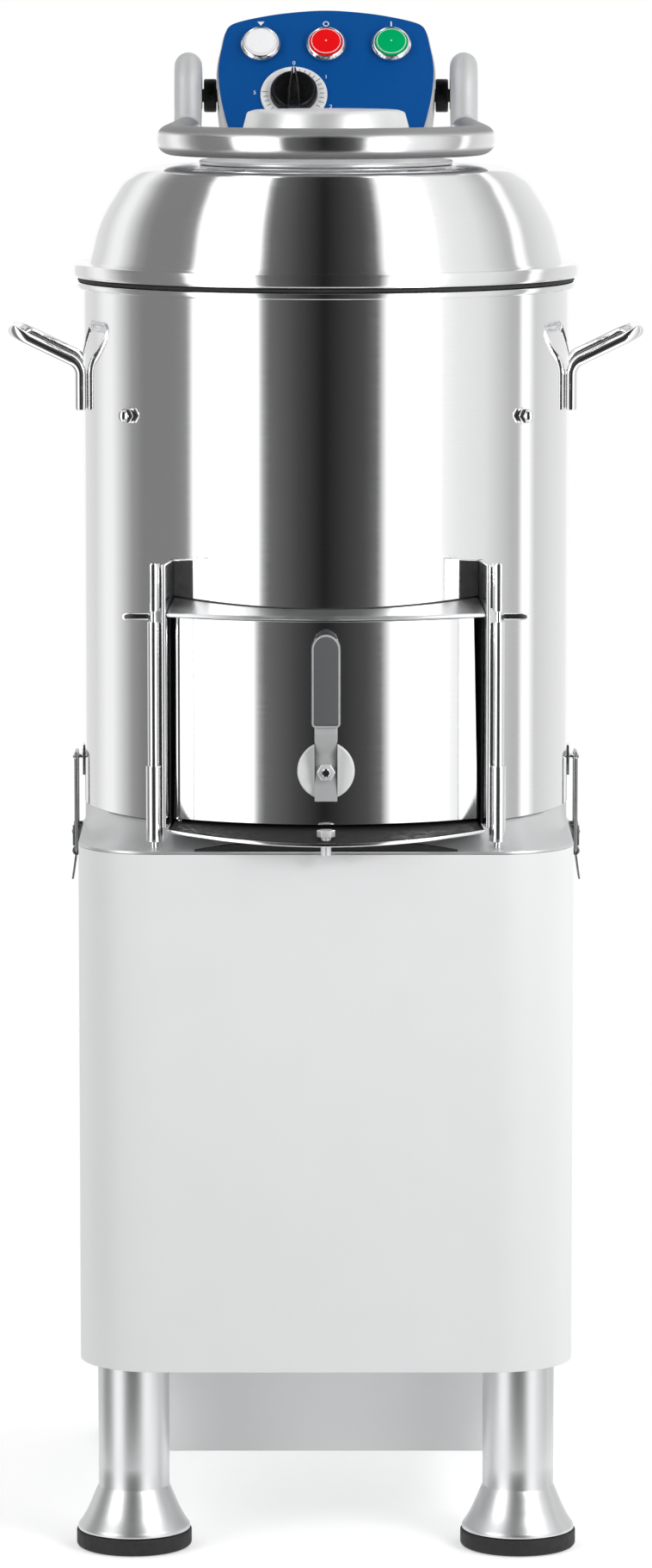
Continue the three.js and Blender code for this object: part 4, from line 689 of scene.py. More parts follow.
def make_piece(
    name: str, shells: Iterable[Shell], finish: Finish, body: str, nodes: Sequence[str] = (),
    sharp: float = 38.0, bevel: float = 0.0, closed: bool = True,
) -> bpy.types.Object:
    """Joins shells into one dressed object that rides on a body.

    Args:
        name: the object's name.
        shells: its surfaces, in the machine's frame.
        finish: what it is made of.
        body: the moving body that carries it.
        nodes: solids that it stands for.
        sharp: angle in degrees past which an edge stays sharp.
        bevel: width in millimetres of a live bevel on those edges, or 0.
        closed: whether its faces are turned outwards as a closed body's.

    Returns:
        The new object.
    """
    points, faces, start = [], [], 0
    for shell in shells:
        points.append(shell.points)
        faces += [[int(i) + start for i in face] for face in shell.faces]
        start += len(shell.points)
    mesh = bpy.data.meshes.new(name)
    mesh.from_pydata(((np.concatenate(points) + FRAME_SHIFT) * MM).tolist(), [], faces)
    work = bmesh.new()
    work.from_mesh(mesh)
    bmesh.ops.remove_doubles(work, verts=work.verts, dist=2e-6)
    if closed:
        bmesh.ops.recalc_face_normals(work, faces=work.faces)
    work.to_mesh(mesh)
    work.free()
    mesh.shade_smooth()
    mesh.set_sharp_from_angle(angle=math.radians(sharp))
    mesh.materials.append(finish.material())
    made = bpy.data.objects.new(name, mesh)
    bpy.context.scene.collection.objects.link(made)
    if bevel:
        soft = made.modifiers.new("soft_edges", "BEVEL")
        soft.width, soft.segments, soft.limit_method = bevel * MM, 2, "ANGLE"
        soft.angle_limit = math.radians(sharp)
        soft.harden_normals = False
    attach(made, body)
    if nodes:
        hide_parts(*nodes)
    LOG.info("%s: %d faces", name, len(mesh.polygons))
    return made


def dress(node: bpy.types.Object, finish: Finish) -> None:
    """Gives a solid that stays in view its finish."""
    node.data.materials.clear()
    node.data.materials.append(finish.material())


# Sub-assemblies


@dataclass
class Cabinet:
    """The boxed stand: wrap, rear panel, floor, deck, guard, legs and feet."""

    half_width: float = 175.0
    front: float = 190.0
    rear: float = 270.0
    corner: float = 56.0
    wall: float = 1.5
    low: float = 138.0
    high: float = 507.0
    deck_low: float = 507.3
    plate_top: float = 509.0
    shoulder_top: float = 522.7
    shoulder_thick: float = 2.0
    shoulder_radius: float = 174.0
    opening_radius: float = 150.0
    recess_radius: float = 160.0
    recess_top: float = 515.0
    cove: Pair = (174.5, 508.15)
    foot_inset: float = 0.5
    edge_steps: Line = ((1.3, 0.0), (0.5, 0.2), (0.12, 0.6), (0.0, 1.1))
    guard_half: float = 125.0
    guard_reach: Pair = (60.0, 160.0)
    guard_span: Pair = (51.5, 149.7)
    leg_rows: tuple[tuple[str, float, float], ...] = (("front", 137.4, -130.0), ("rear", 129.4, 215.0))
    leg_radius: float = 25.4
    leg_bore: float = 23.4
    leg_bore_low: float = 40.0
    leg_low: float = 12.3
    leg_top: float = 149.7
    tube_low: float = 60.0
    flange_radius: float = 34.0
    flange_thick: float = 4.0
    flange_round: float = 0.4
    flare_radius: float = 40.0
    flare_span: Pair = (14.9, 44.3)
    flare_line: Line = ((34.45, 23.8), (30.1, 33.4), (26.9, 41.1))
    skirt_radii: tuple[float, float, float] = (36.5, 37.2, 39.4)
    pad_radius: float = 41.2
    pad_height: float = 12.0
    plug_radius: float = 22.5
    plug_top: float = 38.0

    def build(self, nodes: dict[str, bpy.types.Object]) -> None:
        """Makes every piece of the stand."""
        w = self.half_width
        plan = fillet([(-w, self.rear), (-w, -self.front), (w, -self.front), (w, self.rear)], self.corner, 20)
        wrap = wall(plan, -self.wall, 0, self.low, self.high, 0.6)
        make_piece("wrap", [wrap], SHEET, "frame", ["cabinet_wrap"])
        for node, finish in (("rear_panel", SHEET), ("chassis_plate", SATIN)):
            dress(nodes[node], finish)
        make_piece("deck_plate", [self.deck()], DECK_STEEL, "frame", ["deck"], sharp=50)
        half, (ahead, behind) = self.guard_half, self.guard_reach
        plan = fillet([(-half, behind), (-half, -ahead), (half, -ahead), (half, behind)], 3.0, 4)
        guard = wall(plan, -self.wall, 0, *self.guard_span)
        make_piece("guard", [guard], GUARD_SHEET_PAINTED_LIGHT, "frame", ["motor_guard"])
        for row, half, y in self.leg_rows:
            for name, side in SIDES:
                seat, place = Seat((side * half, y, 0)), f"{row}_{name}"
                make_piece(f"leg_tube_{place}", [self.leg().put(seat)], TURNED, "frame", [f"leg_{place}"])
                make_piece(f"pad_{place}", [self.pad().put(seat)], RUBBER_AND_PAINTED_SHADE, "frame", [f"foot_{place}"])

    def leg(self) -> Shell:
        """A tube with a top flange that flares out to the foot in a hollow curve."""
        first, last = self.flare_span
        flare = curve_through([(self.flare_radius, first), *self.flare_line, (self.leg_radius, last)], 6)
        soft, edge, low, top = self.flange_round, self.flange_radius, self.leg_low, self.leg_top
        under = top - self.flange_thick
        inner, middle, outer = self.skirt_radii
        bore = [
            (0, under), (self.leg_bore, under), (self.leg_bore, self.leg_bore_low), (inner, low + soft / 2),
            (middle, low), (outer, low), (self.flare_radius, low + 1.5 * soft),
        ]
        flange = [
            (self.leg_radius, self.tube_low), (self.leg_radius, under - soft / 2), (edge - soft, under),
            (edge, under + soft), (edge, top - soft), (edge - soft, top), (0, top),
        ]
        return lathe([*bore, *flare.tolist(), *flange], 80)

    def pad(self) -> Shell:
        """A round rubber foot with a plug inside the leg."""
        pad, high, plug, top = self.pad_radius, self.pad_height, self.plug_radius, self.plug_top
        profile = [(0, 0), (pad, 0), (pad, high), (plug, high), (plug, top), (0, top)]
        return lathe(fillet(profile, [0, 2.6, 1.2, 0, 1, 0], 5), 80)

    def reach(self, angle: Array, rear: float, inset: float) -> Array:
        """Distance from the drum's axis to the deck's rounded outline, along each direction.

        A ray meets a straight side at half / |cos| or front / |sin|. Past the tangent points it meets the
        corner's circle instead, at the larger root of its quadratic.
        """
        half, front, radius = self.half_width - inset, self.front - inset, self.corner - inset
        dx, dy = np.abs(np.cos(angle)), np.abs(np.sin(angle))
        depth = np.where(np.sin(angle) > 0, rear - inset, front)
        straight = np.minimum(half / np.maximum(dx, 1e-6), depth / np.maximum(dy, 1e-6))
        cx, cy = half - radius, front - radius
        along = dx * cx + dy * cy
        curved = along + np.sqrt(np.maximum(radius**2 - (cx**2 + cy**2 - along**2), 0))
        rounded = (straight * dx > cx) & (straight * dy > cy)
        rounded &= (np.sin(angle) < 0) | (rear == self.front)
        return np.where(rounded, curved, straight)

    def deck(self) -> Shell:
        """The pressed deck, as one polar grid from the drum's seat out to the folded edge and back under."""
        turns = [math.atan2(self.rear, side * self.half_width) for _, side in SIDES[::-1]]
        angle = np.unique(np.concatenate([np.linspace(-math.pi, math.pi, 360, endpoint=False), turns]))
        foot = self.reach(angle, self.front, self.foot_inset)
        edge = self.reach(angle, self.rear, 0.0)
        share = np.linspace(0, 1, 14)[:, None]
        cove_radius, cove_low = self.cove
        cove = cove_radius + (foot - cove_radius) * share
        height = np.maximum(cove_low + (self.shoulder_top - cove_low) * (1 - share) ** 2, self.plate_top)
        flat = np.ones_like(angle)
        opening, recess = self.opening_radius * flat, self.recess_radius * flat
        rings = [(opening, self.shoulder_top - self.shoulder_thick), (opening, self.shoulder_top)]
        rings += [(self.shoulder_radius * flat, self.shoulder_top), *zip(cove, height)]
        rings += [(np.maximum(edge - inset, foot), self.plate_top - drop) for inset, drop in self.edge_steps]
        rings += [(edge, self.deck_low), (recess, self.deck_low), (recess, self.recess_top)]
        ring_xy = np.stack([np.cos(angle), np.sin(angle)], -1)
        layers = [np.column_stack([r[:, None] * ring_xy, np.broadcast_to(z, len(angle))]) for r, z in rings]
        return Shell(np.concatenate(layers), grid_faces(len(rings), len(angle), True, True).tolist())


@dataclass
class Drum:
    """The peeling drum with its liner, bolts, keepers, plumbing and side handles."""

    radius: float = 175.0
    thick: float = 2.5
    low: float = 523.0
    wall_top: float = 895.0
    high: float = 898.0
    mouth_half: float = 98.0
    mouth: Pair = (585.0, 664.0)
    mouth_cells: int = 32
    bead_out: float = 4.5
    bead_height: float = 5.0
    base_radii: Pair = (30.0, 174.0)
    base_thick: float = 3.0
    liner_radius: float = 172.2
    liner_thick: float = 2.0
    liner_span: Pair = (588.0, 870.0)
    keeper_half: float = 8.0
    keeper_reach: Pair = (-0.6, 1.6)
    keeper_span: Pair = (540.0, 562.0)
    hook_reach: float = 9.0
    hook_span: Pair = (552.4, 554.4)
    bolt_angle: float = math.radians(52.5)
    bolt_height: float = 808.0
    bolt_flats: float = 10.0
    bolt_crown: float = 4.4
    bolt_crown_low: float = 4.8
    bolt_span: Pair = (0.6, 5.4)
    washer_radius: float = 6.0
    washer_span: Pair = (-3.0, 0.9)
    handle_root: float = 175.5
    handle_out: float = 223.7
    handle_half: float = 36.0
    handle_low: float = 807.0
    handle_bend: float = 840.0
    handle_slope: float = math.radians(25.6)
    handle_corner: float = 12.0
    handle_radius: float = 4.0
    outlet_route: tuple[Triple, ...] = ((-118.0, 20.0, 522.7), (-118.0, 20.0, 455.0), (-118.0, 300.0, 455.0))
    outlet_corner: float = 36.0
    outlet_radii: Pair = (25.0, 22.5)

    def skin(self, radius: float, low: float, high: float, thick: float) -> Shell:
        """A drum wall with its mouth left out: two upright grids, joined all round and at the mouth's rim."""
        edge = math.asin(self.mouth_half / self.radius)
        front = np.linspace(-edge, edge, self.mouth_cells + 1)
        angle = np.concatenate([front, np.linspace(edge, 2 * math.pi - edge, 140)[1:-1]])
        inside = [z for z in self.mouth if low < z < high]
        z = np.unique(np.round(np.concatenate([np.linspace(low, high, 7), inside]), 4))
        spoke = np.stack([np.sin(angle), -np.cos(angle)], -1)
        rows, cols = len(z), len(angle)
        skins = []
        for r in (radius, radius - thick):
            xy = np.broadcast_to(r * spoke, (rows, cols, 2))
            skins.append(np.concatenate([xy, np.broadcast_to(z[:, None, None], (rows, cols, 1))], -1))
        quads = grid_faces(rows, cols, False, True)
        row, col = quads[:, 0] // cols, quads[:, 0] % cols
        lowest, highest = self.mouth[0] - 4, self.mouth[1] - 1
        kept = quads[~((col < self.mouth_cells) & (z[row] >= lowest) & (z[row] < highest))]
        edges = np.concatenate([kept[:, [i, (i + 1) % 4]] for i in range(4)])
        key = np.sort(edges, 1)
        _, first, count = np.unique(key, axis=0, return_index=True, return_counts=True)
        rim = edges[first[count == 1]]
        n = rows * cols
        faces = kept.tolist() + (kept[:, ::-1] + n).tolist()
        faces += np.stack([rim[:, 1], rim[:, 0], rim[:, 0] + n, rim[:, 1] + n], -1).tolist()
        return Shell(np.concatenate([s.reshape(-1, 3) for s in skins]), faces)

    def build(self, nodes: dict[str, bpy.types.Object]) -> None:
        """Makes the drum and what is fixed to it."""
        wall_shell = self.skin(self.radius, self.low, self.wall_top, self.thick)
        shells = [wall_shell, self.bead(), self.base(), *self.keepers()]
        make_piece("drum_wall", shells, POLISHED, "frame", ["drum_shell"], sharp=50)
        liner = self.skin(self.liner_radius, *self.liner_span, self.liner_thick)
        make_piece("liner", [liner], GRIT, "frame", ["abrasive_liner"], sharp=50)
        for name, side in SIDES:
            make_piece(f"liner_nut_{name}", self.liner_nut(side), POLISHED_ROD, "frame")
        self.side_handles()
        for node, finish in (("water_inlet", ZINC), ("cable_gland", BLACK), ("bearing_housing", CAST)):
            dress(nodes[node], finish)
        outlet = pipe(fillet(self.outlet_route, self.outlet_corner, 12), *self.outlet_radii)
        make_piece("waste_pipe", [outlet], SATIN, "frame", ["waste_outlet"])

    def bead(self) -> Shell:
        """The rolled rim at the drum's top."""
        inner, outer = self.radius - self.thick, self.radius + self.bead_out
        return ring(inner, outer, self.high - self.bead_height, self.high, [0, 2.2, 2.2, 0.6], 6, 192)

    def base(self) -> Shell:
        """The drum's floor plate, open in the middle for the bearing."""
        return ring(*self.base_radii, self.low, self.low + self.base_thick, 0.4, 2, 128)

    def keepers(self) -> list[Shell]:
        """On each side a plate with a hook that takes the latch's wire."""
        half, wall_x = self.keeper_half, self.radius
        inner, outer = self.keeper_reach
        plate = block(wall_x + inner, wall_x + outer, -half, half, *self.keeper_span, 0.5)
        hook = block(wall_x, wall_x + self.hook_reach, -half, half, *self.hook_span, 0.7)
        return [shell.mirrored(side) for _, side in SIDES for shell in (plate, hook)]

    def liner_nut(self, side: int) -> list[Shell]:
        """A domed nut on its washer, square to the drum's wall."""
        across, ahead = math.sin(self.bolt_angle), math.cos(self.bolt_angle)
        out = (side * across, -ahead, 0.0)
        place = (self.radius * out[0], self.radius * out[1], self.bolt_height)
        seat = Seat(place, (ahead, side * across, 0), (0, 0, 1), out)
        r, low = self.bolt_crown, self.bolt_crown_low
        bend = [(r * math.sin(turn), low + r * math.cos(turn)) for turn in np.linspace(0.2, 1.57, 8)]
        crown = lathe([(0, low + r), *bend, (r, low - 0.6), (0, low - 0.6)], 32)
        washer = rod(self.washer_radius, *self.washer_span, 32)
        return [shell.put(seat) for shell in (nut(self.bolt_flats, *self.bolt_span), crown, washer)]

    def side_handles(self) -> None:
        """A bent rod on each side, its grip turned up and out."""
        root, out, half = self.handle_root, self.handle_out, self.handle_half
        low, bend = self.handle_low, self.handle_bend
        top = bend + (out - root) * math.tan(self.handle_slope)
        line = [(root, -half, low), (root, -half, bend), (out, -half, top)]
        line += [(x, -y, z) for x, y, z in line[::-1]]
        bar = tube(fillet(line, self.handle_corner, 10), self.handle_radius, 24)
        for name, side in SIDES:
            node = f"side_handle_{name}"
            make_piece(f"handle_rod_{name}", [bar.mirrored(side)], POLISHED_ROD, "frame", [node])


@dataclass
class Lid:
    """The domed lid with its seal, hub and bent tube handle."""

    flange_radius: float = 182.0
    dome_radius: float = 171.0
    dome_rise: float = 70.0
    thick: float = 1.5
    rim: Pair = (901.0, 911.0)
    shares: Line = (
        (1, 0), (0.985, 0.134), (0.969, 0.297), (0.948, 0.44), (0.918, 0.584), (0.883, 0.718), (0.856, 0.816),
        (0.823, 0.887), (0.77, 0.957), (0.68, 0.99), (0.58, 1),
    )
    crown_radius: float = 60.0
    seal_radii: Pair = (173.5, 178.5)
    seal_span: Pair = (898.3, 900.7)
    disc_line: Line = ((91.0, 0.0), (91.0, 3.0), (74.6, 5.6))
    disc_low: float = 981.3
    disc_top: float = 988.3
    neck_radius: float = 26.0
    cap_low: float = 1009.0
    cap_line: Line = (
        (48.0, 1009.0), (50.0, 1003.6), (60.6, 1003.6), (56.6, 1018.4), (52.0, 1019.9), (0.0, 1020.0),
    )
    arm_half: float = 103.2
    arch: float = 14.0
    arch_top: float = 1047.0
    tail: float = 12.0
    ring_radius: float = 111.0
    ring_height: float = 999.0
    tube_radius: float = 10.3
    ring_tube_radius: float = 10.9
    crossbar_half: float = 106.0
    crossbar_radius: float = 6.0

    def build(self) -> None:
        """Makes the lid's pieces."""
        make_piece("dome", [self.dome()], POLISHED, "lid", ["lid_dome"], sharp=50)
        seal = ring(*self.seal_radii, *self.seal_span, 0.6, 3, 160)
        make_piece("seal_ring", [seal], RUBBER_AND_PAINTED_SHADE, "lid", ["lid_seal"])
        base, neck, neck_top = self.disc_low, self.neck_radius, self.cap_low + 0.2
        disc = [(r, base + z) for r, z in self.disc_line]
        profile = [(0, base), *disc, (neck, self.disc_top), (neck, neck_top), (0, neck_top)]
        hub = lathe(fillet(profile, [0, 1.2, 1.4, 3, 6, 0, 0], 5), 160)
        make_piece("hub_disc_and_neck", [hub], SATIN_CAP, "lid", ["lid_hub"], sharp=50)
        cap = fillet([(0, self.cap_low), *self.cap_line], [0, 1, 1, 0.8, 2.4, 3, 0], 5)
        make_piece("hub_cap", [lathe(cap, 160)], SATIN_CAP, "lid", sharp=50)
        front, arm = self.loop()
        make_piece("handle_ring", [front, self.crossbar()], POLISHED_LOOP, "lid", ["lid_handle"])
        for name, side in SIDES:
            make_piece(f"handle_arm_{name}", [arm.mirrored(-side)], SATIN_ARM, "lid")

    def dome(self) -> Shell:
        """The dome and its flange: shares of the dome's radius and rise, smooth through their points."""
        (low, high), radius, inner = self.rim, self.dome_radius, self.dome_radius - self.thick
        top, depth = high + self.dome_rise, self.dome_rise - self.thick
        outside = [(radius * r, high + self.dome_rise * z) for r, z in curve_through(self.shares, 6)]
        inside = [(inner * r, high + depth * z) for r, z in curve_through(self.shares, 3)][::-1]
        flange = [
            (inner, low), (self.flange_radius, low), (self.flange_radius, high), (radius + self.thick, high),
            (radius, high + 1),
        ]
        edge = fillet(flange, [0, 3.2, 3.2, 1.2, 0], 6).tolist()
        crown = [(self.crown_radius, top), (0, top)]
        return lathe([(0, top - self.thick), *inside, *edge, *outside[1:], *crown], 192)

    def loop(self) -> tuple[Shell, Shell]:
        """The handle in two welded stretches.

        Returns:
            The polished ring with its straight ends, and the left arm with its arch and tail to the hinge.
        """
        (y, low), half, arch = LID_AXIS, self.arm_half, self.arch
        line = [
            (-half, y, low - self.tail), (-half, y, self.arch_top), (-half, y - 2 * arch, self.arch_top),
            (-half, y - 2 * arch, self.ring_height), (-self.ring_radius, 0, self.ring_height),
        ]
        bent = fillet(line, arch, 14)
        angle = np.linspace(0, math.pi / 2, 40)[1:, None]
        round_front = np.concatenate([-np.cos(angle), -np.sin(angle), 0 * angle], 1) * self.ring_radius
        left = np.concatenate([bent[-2:], round_front + (0, 0, self.ring_height)])
        right = left[-2::-1] * (-1, 1, 1)
        front = tube(np.concatenate([left, right]), self.ring_tube_radius, 32, 0.1)
        return front, tube(bent[:-1], self.tube_radius, 28, 0.25)

    def crossbar(self) -> Shell:
        """The bar through the hub's neck, from one side of the ring to the other."""
        half = self.crossbar_half
        path = np.array([(x, 0, self.ring_height) for x in np.linspace(-half, half, 5)])
        return tube(path, self.crossbar_radius, 24)


@dataclass
class Chute:
    """The discharge chute: two plates with guides, a hood, a floor, a stop bolt and the slide bolts."""

    rear_half: float = 107.5
    front_half: float = 112.0
    front: float = 174.0
    thick: float = 3.0
    plate_span: Pair = (523.4, 709.0)
    inner_rear: float = 175.3
    outer_rear: float = 175.4
    guide_x: float = 120.6
    guide_y: float = -169.0
    guide_bore: float = 3.0
    guide_steps: tuple[Triple, ...] = ((5.5, 513.5, 567), (4.2, 561, 668.5))
    sleeve: Pair = (676.0, 709.0)
    sleeve_radius: float = 3.9
    sleeve_half_wall: float = 0.7
    slot_angle: float = 64.0
    weld_x: float = 114.0
    lining_span: Pair = (524.2, 708.2)
    lining_out: float = 0.1
    lining_in: float = 0.3
    bare_share: float = 0.52
    hood_lip: float = 197.0
    hood_low: float = 674.7
    hood_rear: Pair = (678.0, 683.6)
    hood_thick: float = 3.0
    seam_lift: float = 0.45
    seam_thick: float = 0.5
    seam_share: float = 0.07
    floor_lip: float = 212.0
    floor_high: float = 527.0
    floor_front: Pair = (517.5, 522.6)
    floor_thick: float = 2.5
    floor_lining_lift: float = 0.4
    floor_lining_thick: float = 0.45
    floor_lining_share: float = 0.95
    floor_lining_half: float = 105.0
    side_gap: float = 0.5
    bead_half: float = 92.0
    bead_rear: float = 181.0
    bead_reach: float = 7.6
    bead_span: Pair = (509.1, 509.6)
    bead_rise: float = 8.0
    pin_radius: float = 1.6
    hood_pin: Pair = (663.3, 679.0)
    floor_pin: Pair = (524.5, 534.5)
    stop_y: float = -204.0
    stop_seat: float = 521.37
    stop_flats: float = 11.2
    stop_head: float = 5.0
    stop_line: Line = ((0, -13), (3.0, -13), (3.6, -12.2), (3.6, 1), (0, 1))
    rod_radius: float = 2.5
    rod_heights: Numbers = (505.0, 560.0, 620.0, 682.0)
    arm_height: float = 672.0
    arm_reach: Numbers = (0.0, 6.0, 13.0, 22.0)

    def build(self) -> None:
        """Makes the chute's pieces."""
        plate, lining = self.plate(), self.lining()
        for name, side in SIDES:
            shells = [shell.mirrored(side) for shell in plate]
            make_piece(f"chute_side_{name}", shells, POLISHED_FLAT, "frame", [f"chute_plate_{name}"])
            # Dark sheets on the plates' inner faces: painted shade.
            make_piece(f"chute_shade_sheet_{name}", [lining.mirrored(side)], RUBBER_AND_PAINTED_SHADE, "frame")
        hood = [self.span(self.hood, self.hood_thick), self.hinge_pin(*self.hood_pin)]
        make_piece("hood_sheet", hood, HOOD_STEEL, "frame", ["chute_hood"], sharp=60, bevel=1.2)
        # A dark strip along the hood's rear: painted shadow where the hood meets the drum.
        shadow_strip = self.span(self.hood_seam, self.seam_thick, self.seam_share)
        make_piece("hood_seam", [shadow_strip], RUBBER_AND_PAINTED_SHADE, "frame", sharp=60)
        floor = [self.span(self.tray, self.floor_thick), self.hinge_pin(*self.floor_pin)]
        make_piece("floor_sheet", floor, POLISHED_ROD, "frame", ["chute_floor"], sharp=60, bevel=0.8)
        # A dark sheet over most of the floor's top: painted shade in the gap under the door.
        floor_shade_sheet = self.span(
            self.tray_lining, self.floor_lining_thick, self.floor_lining_share, self.floor_lining_half
        )
        make_piece("floor_shade_sheet", [floor_shade_sheet], RUBBER_AND_PAINTED_SHADE, "frame", sharp=60)
        # A dark bead on the deck under the floor's front: painted shadow.
        make_piece("floor_shadow_bead", [self.bead()], RUBBER_AND_PAINTED_SHADE, "frame", sharp=60)
        seat = self.stop_seat
        stem = lathe([(radius, seat + z) for radius, z in self.stop_line], 32)
        parts = (nut(self.stop_flats, seat, seat + self.stop_head), stem)
        bolt = [part.put(Seat((0, self.stop_y, 0))) for part in parts]
        make_piece("stop_bolt_steel", bolt, PALE_ZINC, "frame", ["stop_bolt"])
        self.slide_bolts()

    def rear(self, radius: float, x: Array | float) -> Array:
        """How far forward an upright round wall lies at some places across."""
        return np.sqrt(radius**2 - np.square(x))

    def plate(self) -> list[Shell]:
        """The right plate with its guide's two steps and slotted sleeve, each on a weld."""
        inner, outer = self.rear_half, self.rear_half + self.thick
        plan = [
            (inner, -self.rear(self.inner_rear, inner)), (self.front_half, -self.front),
            (self.front_half + self.thick, -self.front), (outer + 0.3, -self.rear(self.outer_rear, outer)),
        ]
        shells = [slab(fillet(plan, [0.1, 1.3, 1.3, 0.1], 4, closed=True), *self.plate_span, 1.0)]
        x, y = self.guide_x, self.guide_y
        for radius, low, high in self.guide_steps:
            shells.append(ring(self.guide_bore, radius, low, high).put(Seat((x, y, 0))))
            half, weld_end = radius / 2, x - self.guide_bore - 0.1
            shells.append(block(self.weld_x, weld_end, y - half, y + half, low + 0.5, high - 0.5, 0.4))
        low, high = self.sleeve
        weld_end = x - self.guide_bore - 0.4
        weld = block(self.weld_x, weld_end, y - 2, y + 2, low + 2, high - 2, 0.4)
        return [*shells, self.sleeve_tube(), weld]

    def lining(self) -> Shell:
        """The dark sheet on the right plate's inner side, from the drum to a share of the plate's length:
        painted shade on the plate's inner face.
        """
        start = self.rear(self.inner_rear, self.rear_half)
        end = self.front - self.bare_share * (self.front - start)
        half = self.front_half - self.bare_share * (self.front_half - self.rear_half)
        plan = [
            (self.rear_half - self.lining_in, -start), (half - self.lining_in, -end),
            (half + self.lining_out, -end), (self.rear_half + self.lining_out, -start),
        ]
        return slab(plan, *self.lining_span, 0.05)

    def sleeve_tube(self) -> Shell:
        """The upper sleeve of a guide, slotted on its outer side for the bolt's arm."""
        angle = np.radians(np.linspace(self.slot_angle, 360 - self.slot_angle, 49))
        plan = np.stack([np.cos(angle), np.sin(angle)], -1) * self.sleeve_radius
        half = self.sleeve_half_wall
        return wall(plan, -half, half, *self.sleeve, 0.3).put(Seat((self.guide_x, self.guide_y, 0)))

    def bead(self) -> Shell:
        """The dark bead under the floor's front edge, a painted shadow of the floor on the deck, its height
        falling as (x / half-width) squared.
        """
        share, v = np.meshgrid(np.linspace(-1, 1, 61), np.linspace(0, 1, 5), indexing="ij")
        foot, low = self.bead_span
        height = low + self.bead_rise * (1 - share**2)
        upper = np.stack([self.bead_half * share, -self.bead_rear - self.bead_reach * v, height], -1)
        return sheet(upper, upper * (1, 1, 0) + (0, 0, foot))

    def hinge_pin(self, low: float, high: float) -> Shell:
        """A short pin for the door's barrel to turn on."""
        return rod(self.pin_radius, low, high).put(DOOR_PIN)

    def hood(self, share: Array, v: Array) -> tuple[Array, Array]:
        """How far forward and how high the hood's top lies, from its rear line (v = 0) to its lip (v = 1)."""
        middle, side = self.hood_rear
        back = middle + (side - middle) * share**2
        return self.hood_lip + (self.front - self.hood_lip) * share**2, back + (self.hood_low - back) * v

    def hood_seam(self, share: Array, v: Array) -> tuple[Array, Array]:
        """The hood's own surface, raised by the thickness of the dark strip along the drum: a painted shadow
        where the hood meets the drum.
        """
        lip, z = self.hood(share, v)
        return lip, z + self.seam_lift

    def tray(self, share: Array, v: Array) -> tuple[Array, Array]:
        """The same for the floor, which slopes down and out to a bowed front edge."""
        middle, side = self.floor_front
        edge = middle + (side - middle) * share**2
        lip = self.floor_lip + (self.front - self.floor_lip) * share**2
        return lip, self.floor_high + (edge - self.floor_high) * v

    def tray_lining(self, share: Array, v: Array) -> tuple[Array, Array]:
        """The floor's own surface, raised by the thickness of the dark sheet on it: painted shade over the
        floor's top under the door.
        """
        lip, z = self.tray(share, v)
        return lip, z + self.floor_lining_lift

    def span(self, form: Callable, thick: float, forward: float = 1.0, limit: float = 0.0) -> Shell:
        """A sheet between the two plates: its sides follow them, its rear follows the drum.

        Args:
            form: gives the front reach and the height for each share across and v forward.
            thick: thickness of the sheet.
            forward: the share of the way to the lip that it covers.
            limit: half-width at the rear, or 0 for the whole width.

        Returns:
            A closed shell.
        """
        side = limit / self.rear_half if limit else 1.0
        share, v = np.meshgrid(np.linspace(-side, side, 61), np.linspace(0, forward, 17), indexing="ij")
        rear_x = share * (self.rear_half - self.side_gap)
        x = rear_x + (share * (self.front_half - self.side_gap) - rear_x) * v
        lip, z = form(share, v)
        rear = self.rear(self.inner_rear, rear_x)
        upper = np.stack([x, -(rear + (lip - rear) * v), z], -1)
        return sheet(upper, upper - (0, 0, thick))

    def slide_bolts(self) -> None:
        """A rod in each guide, with a short arm that sticks out to lift it by."""
        upright = tube(np.array([(0, 0, z) for z in self.rod_heights]), self.rod_radius, 24)
        arm = tube(np.array([(x, 0, self.arm_height) for x in self.arm_reach]), self.rod_radius, 24, 0.8)
        seat = Seat((self.guide_x, self.guide_y, 0))
        for name, side in SIDES:
            shells = [part.put(seat).mirrored(side) for part in (upright, arm)]
            make_piece(f"lift_rod_{name}", shells, POLISHED_ROD, f"bolt_{name}", [f"slide_bolt_{name}"])


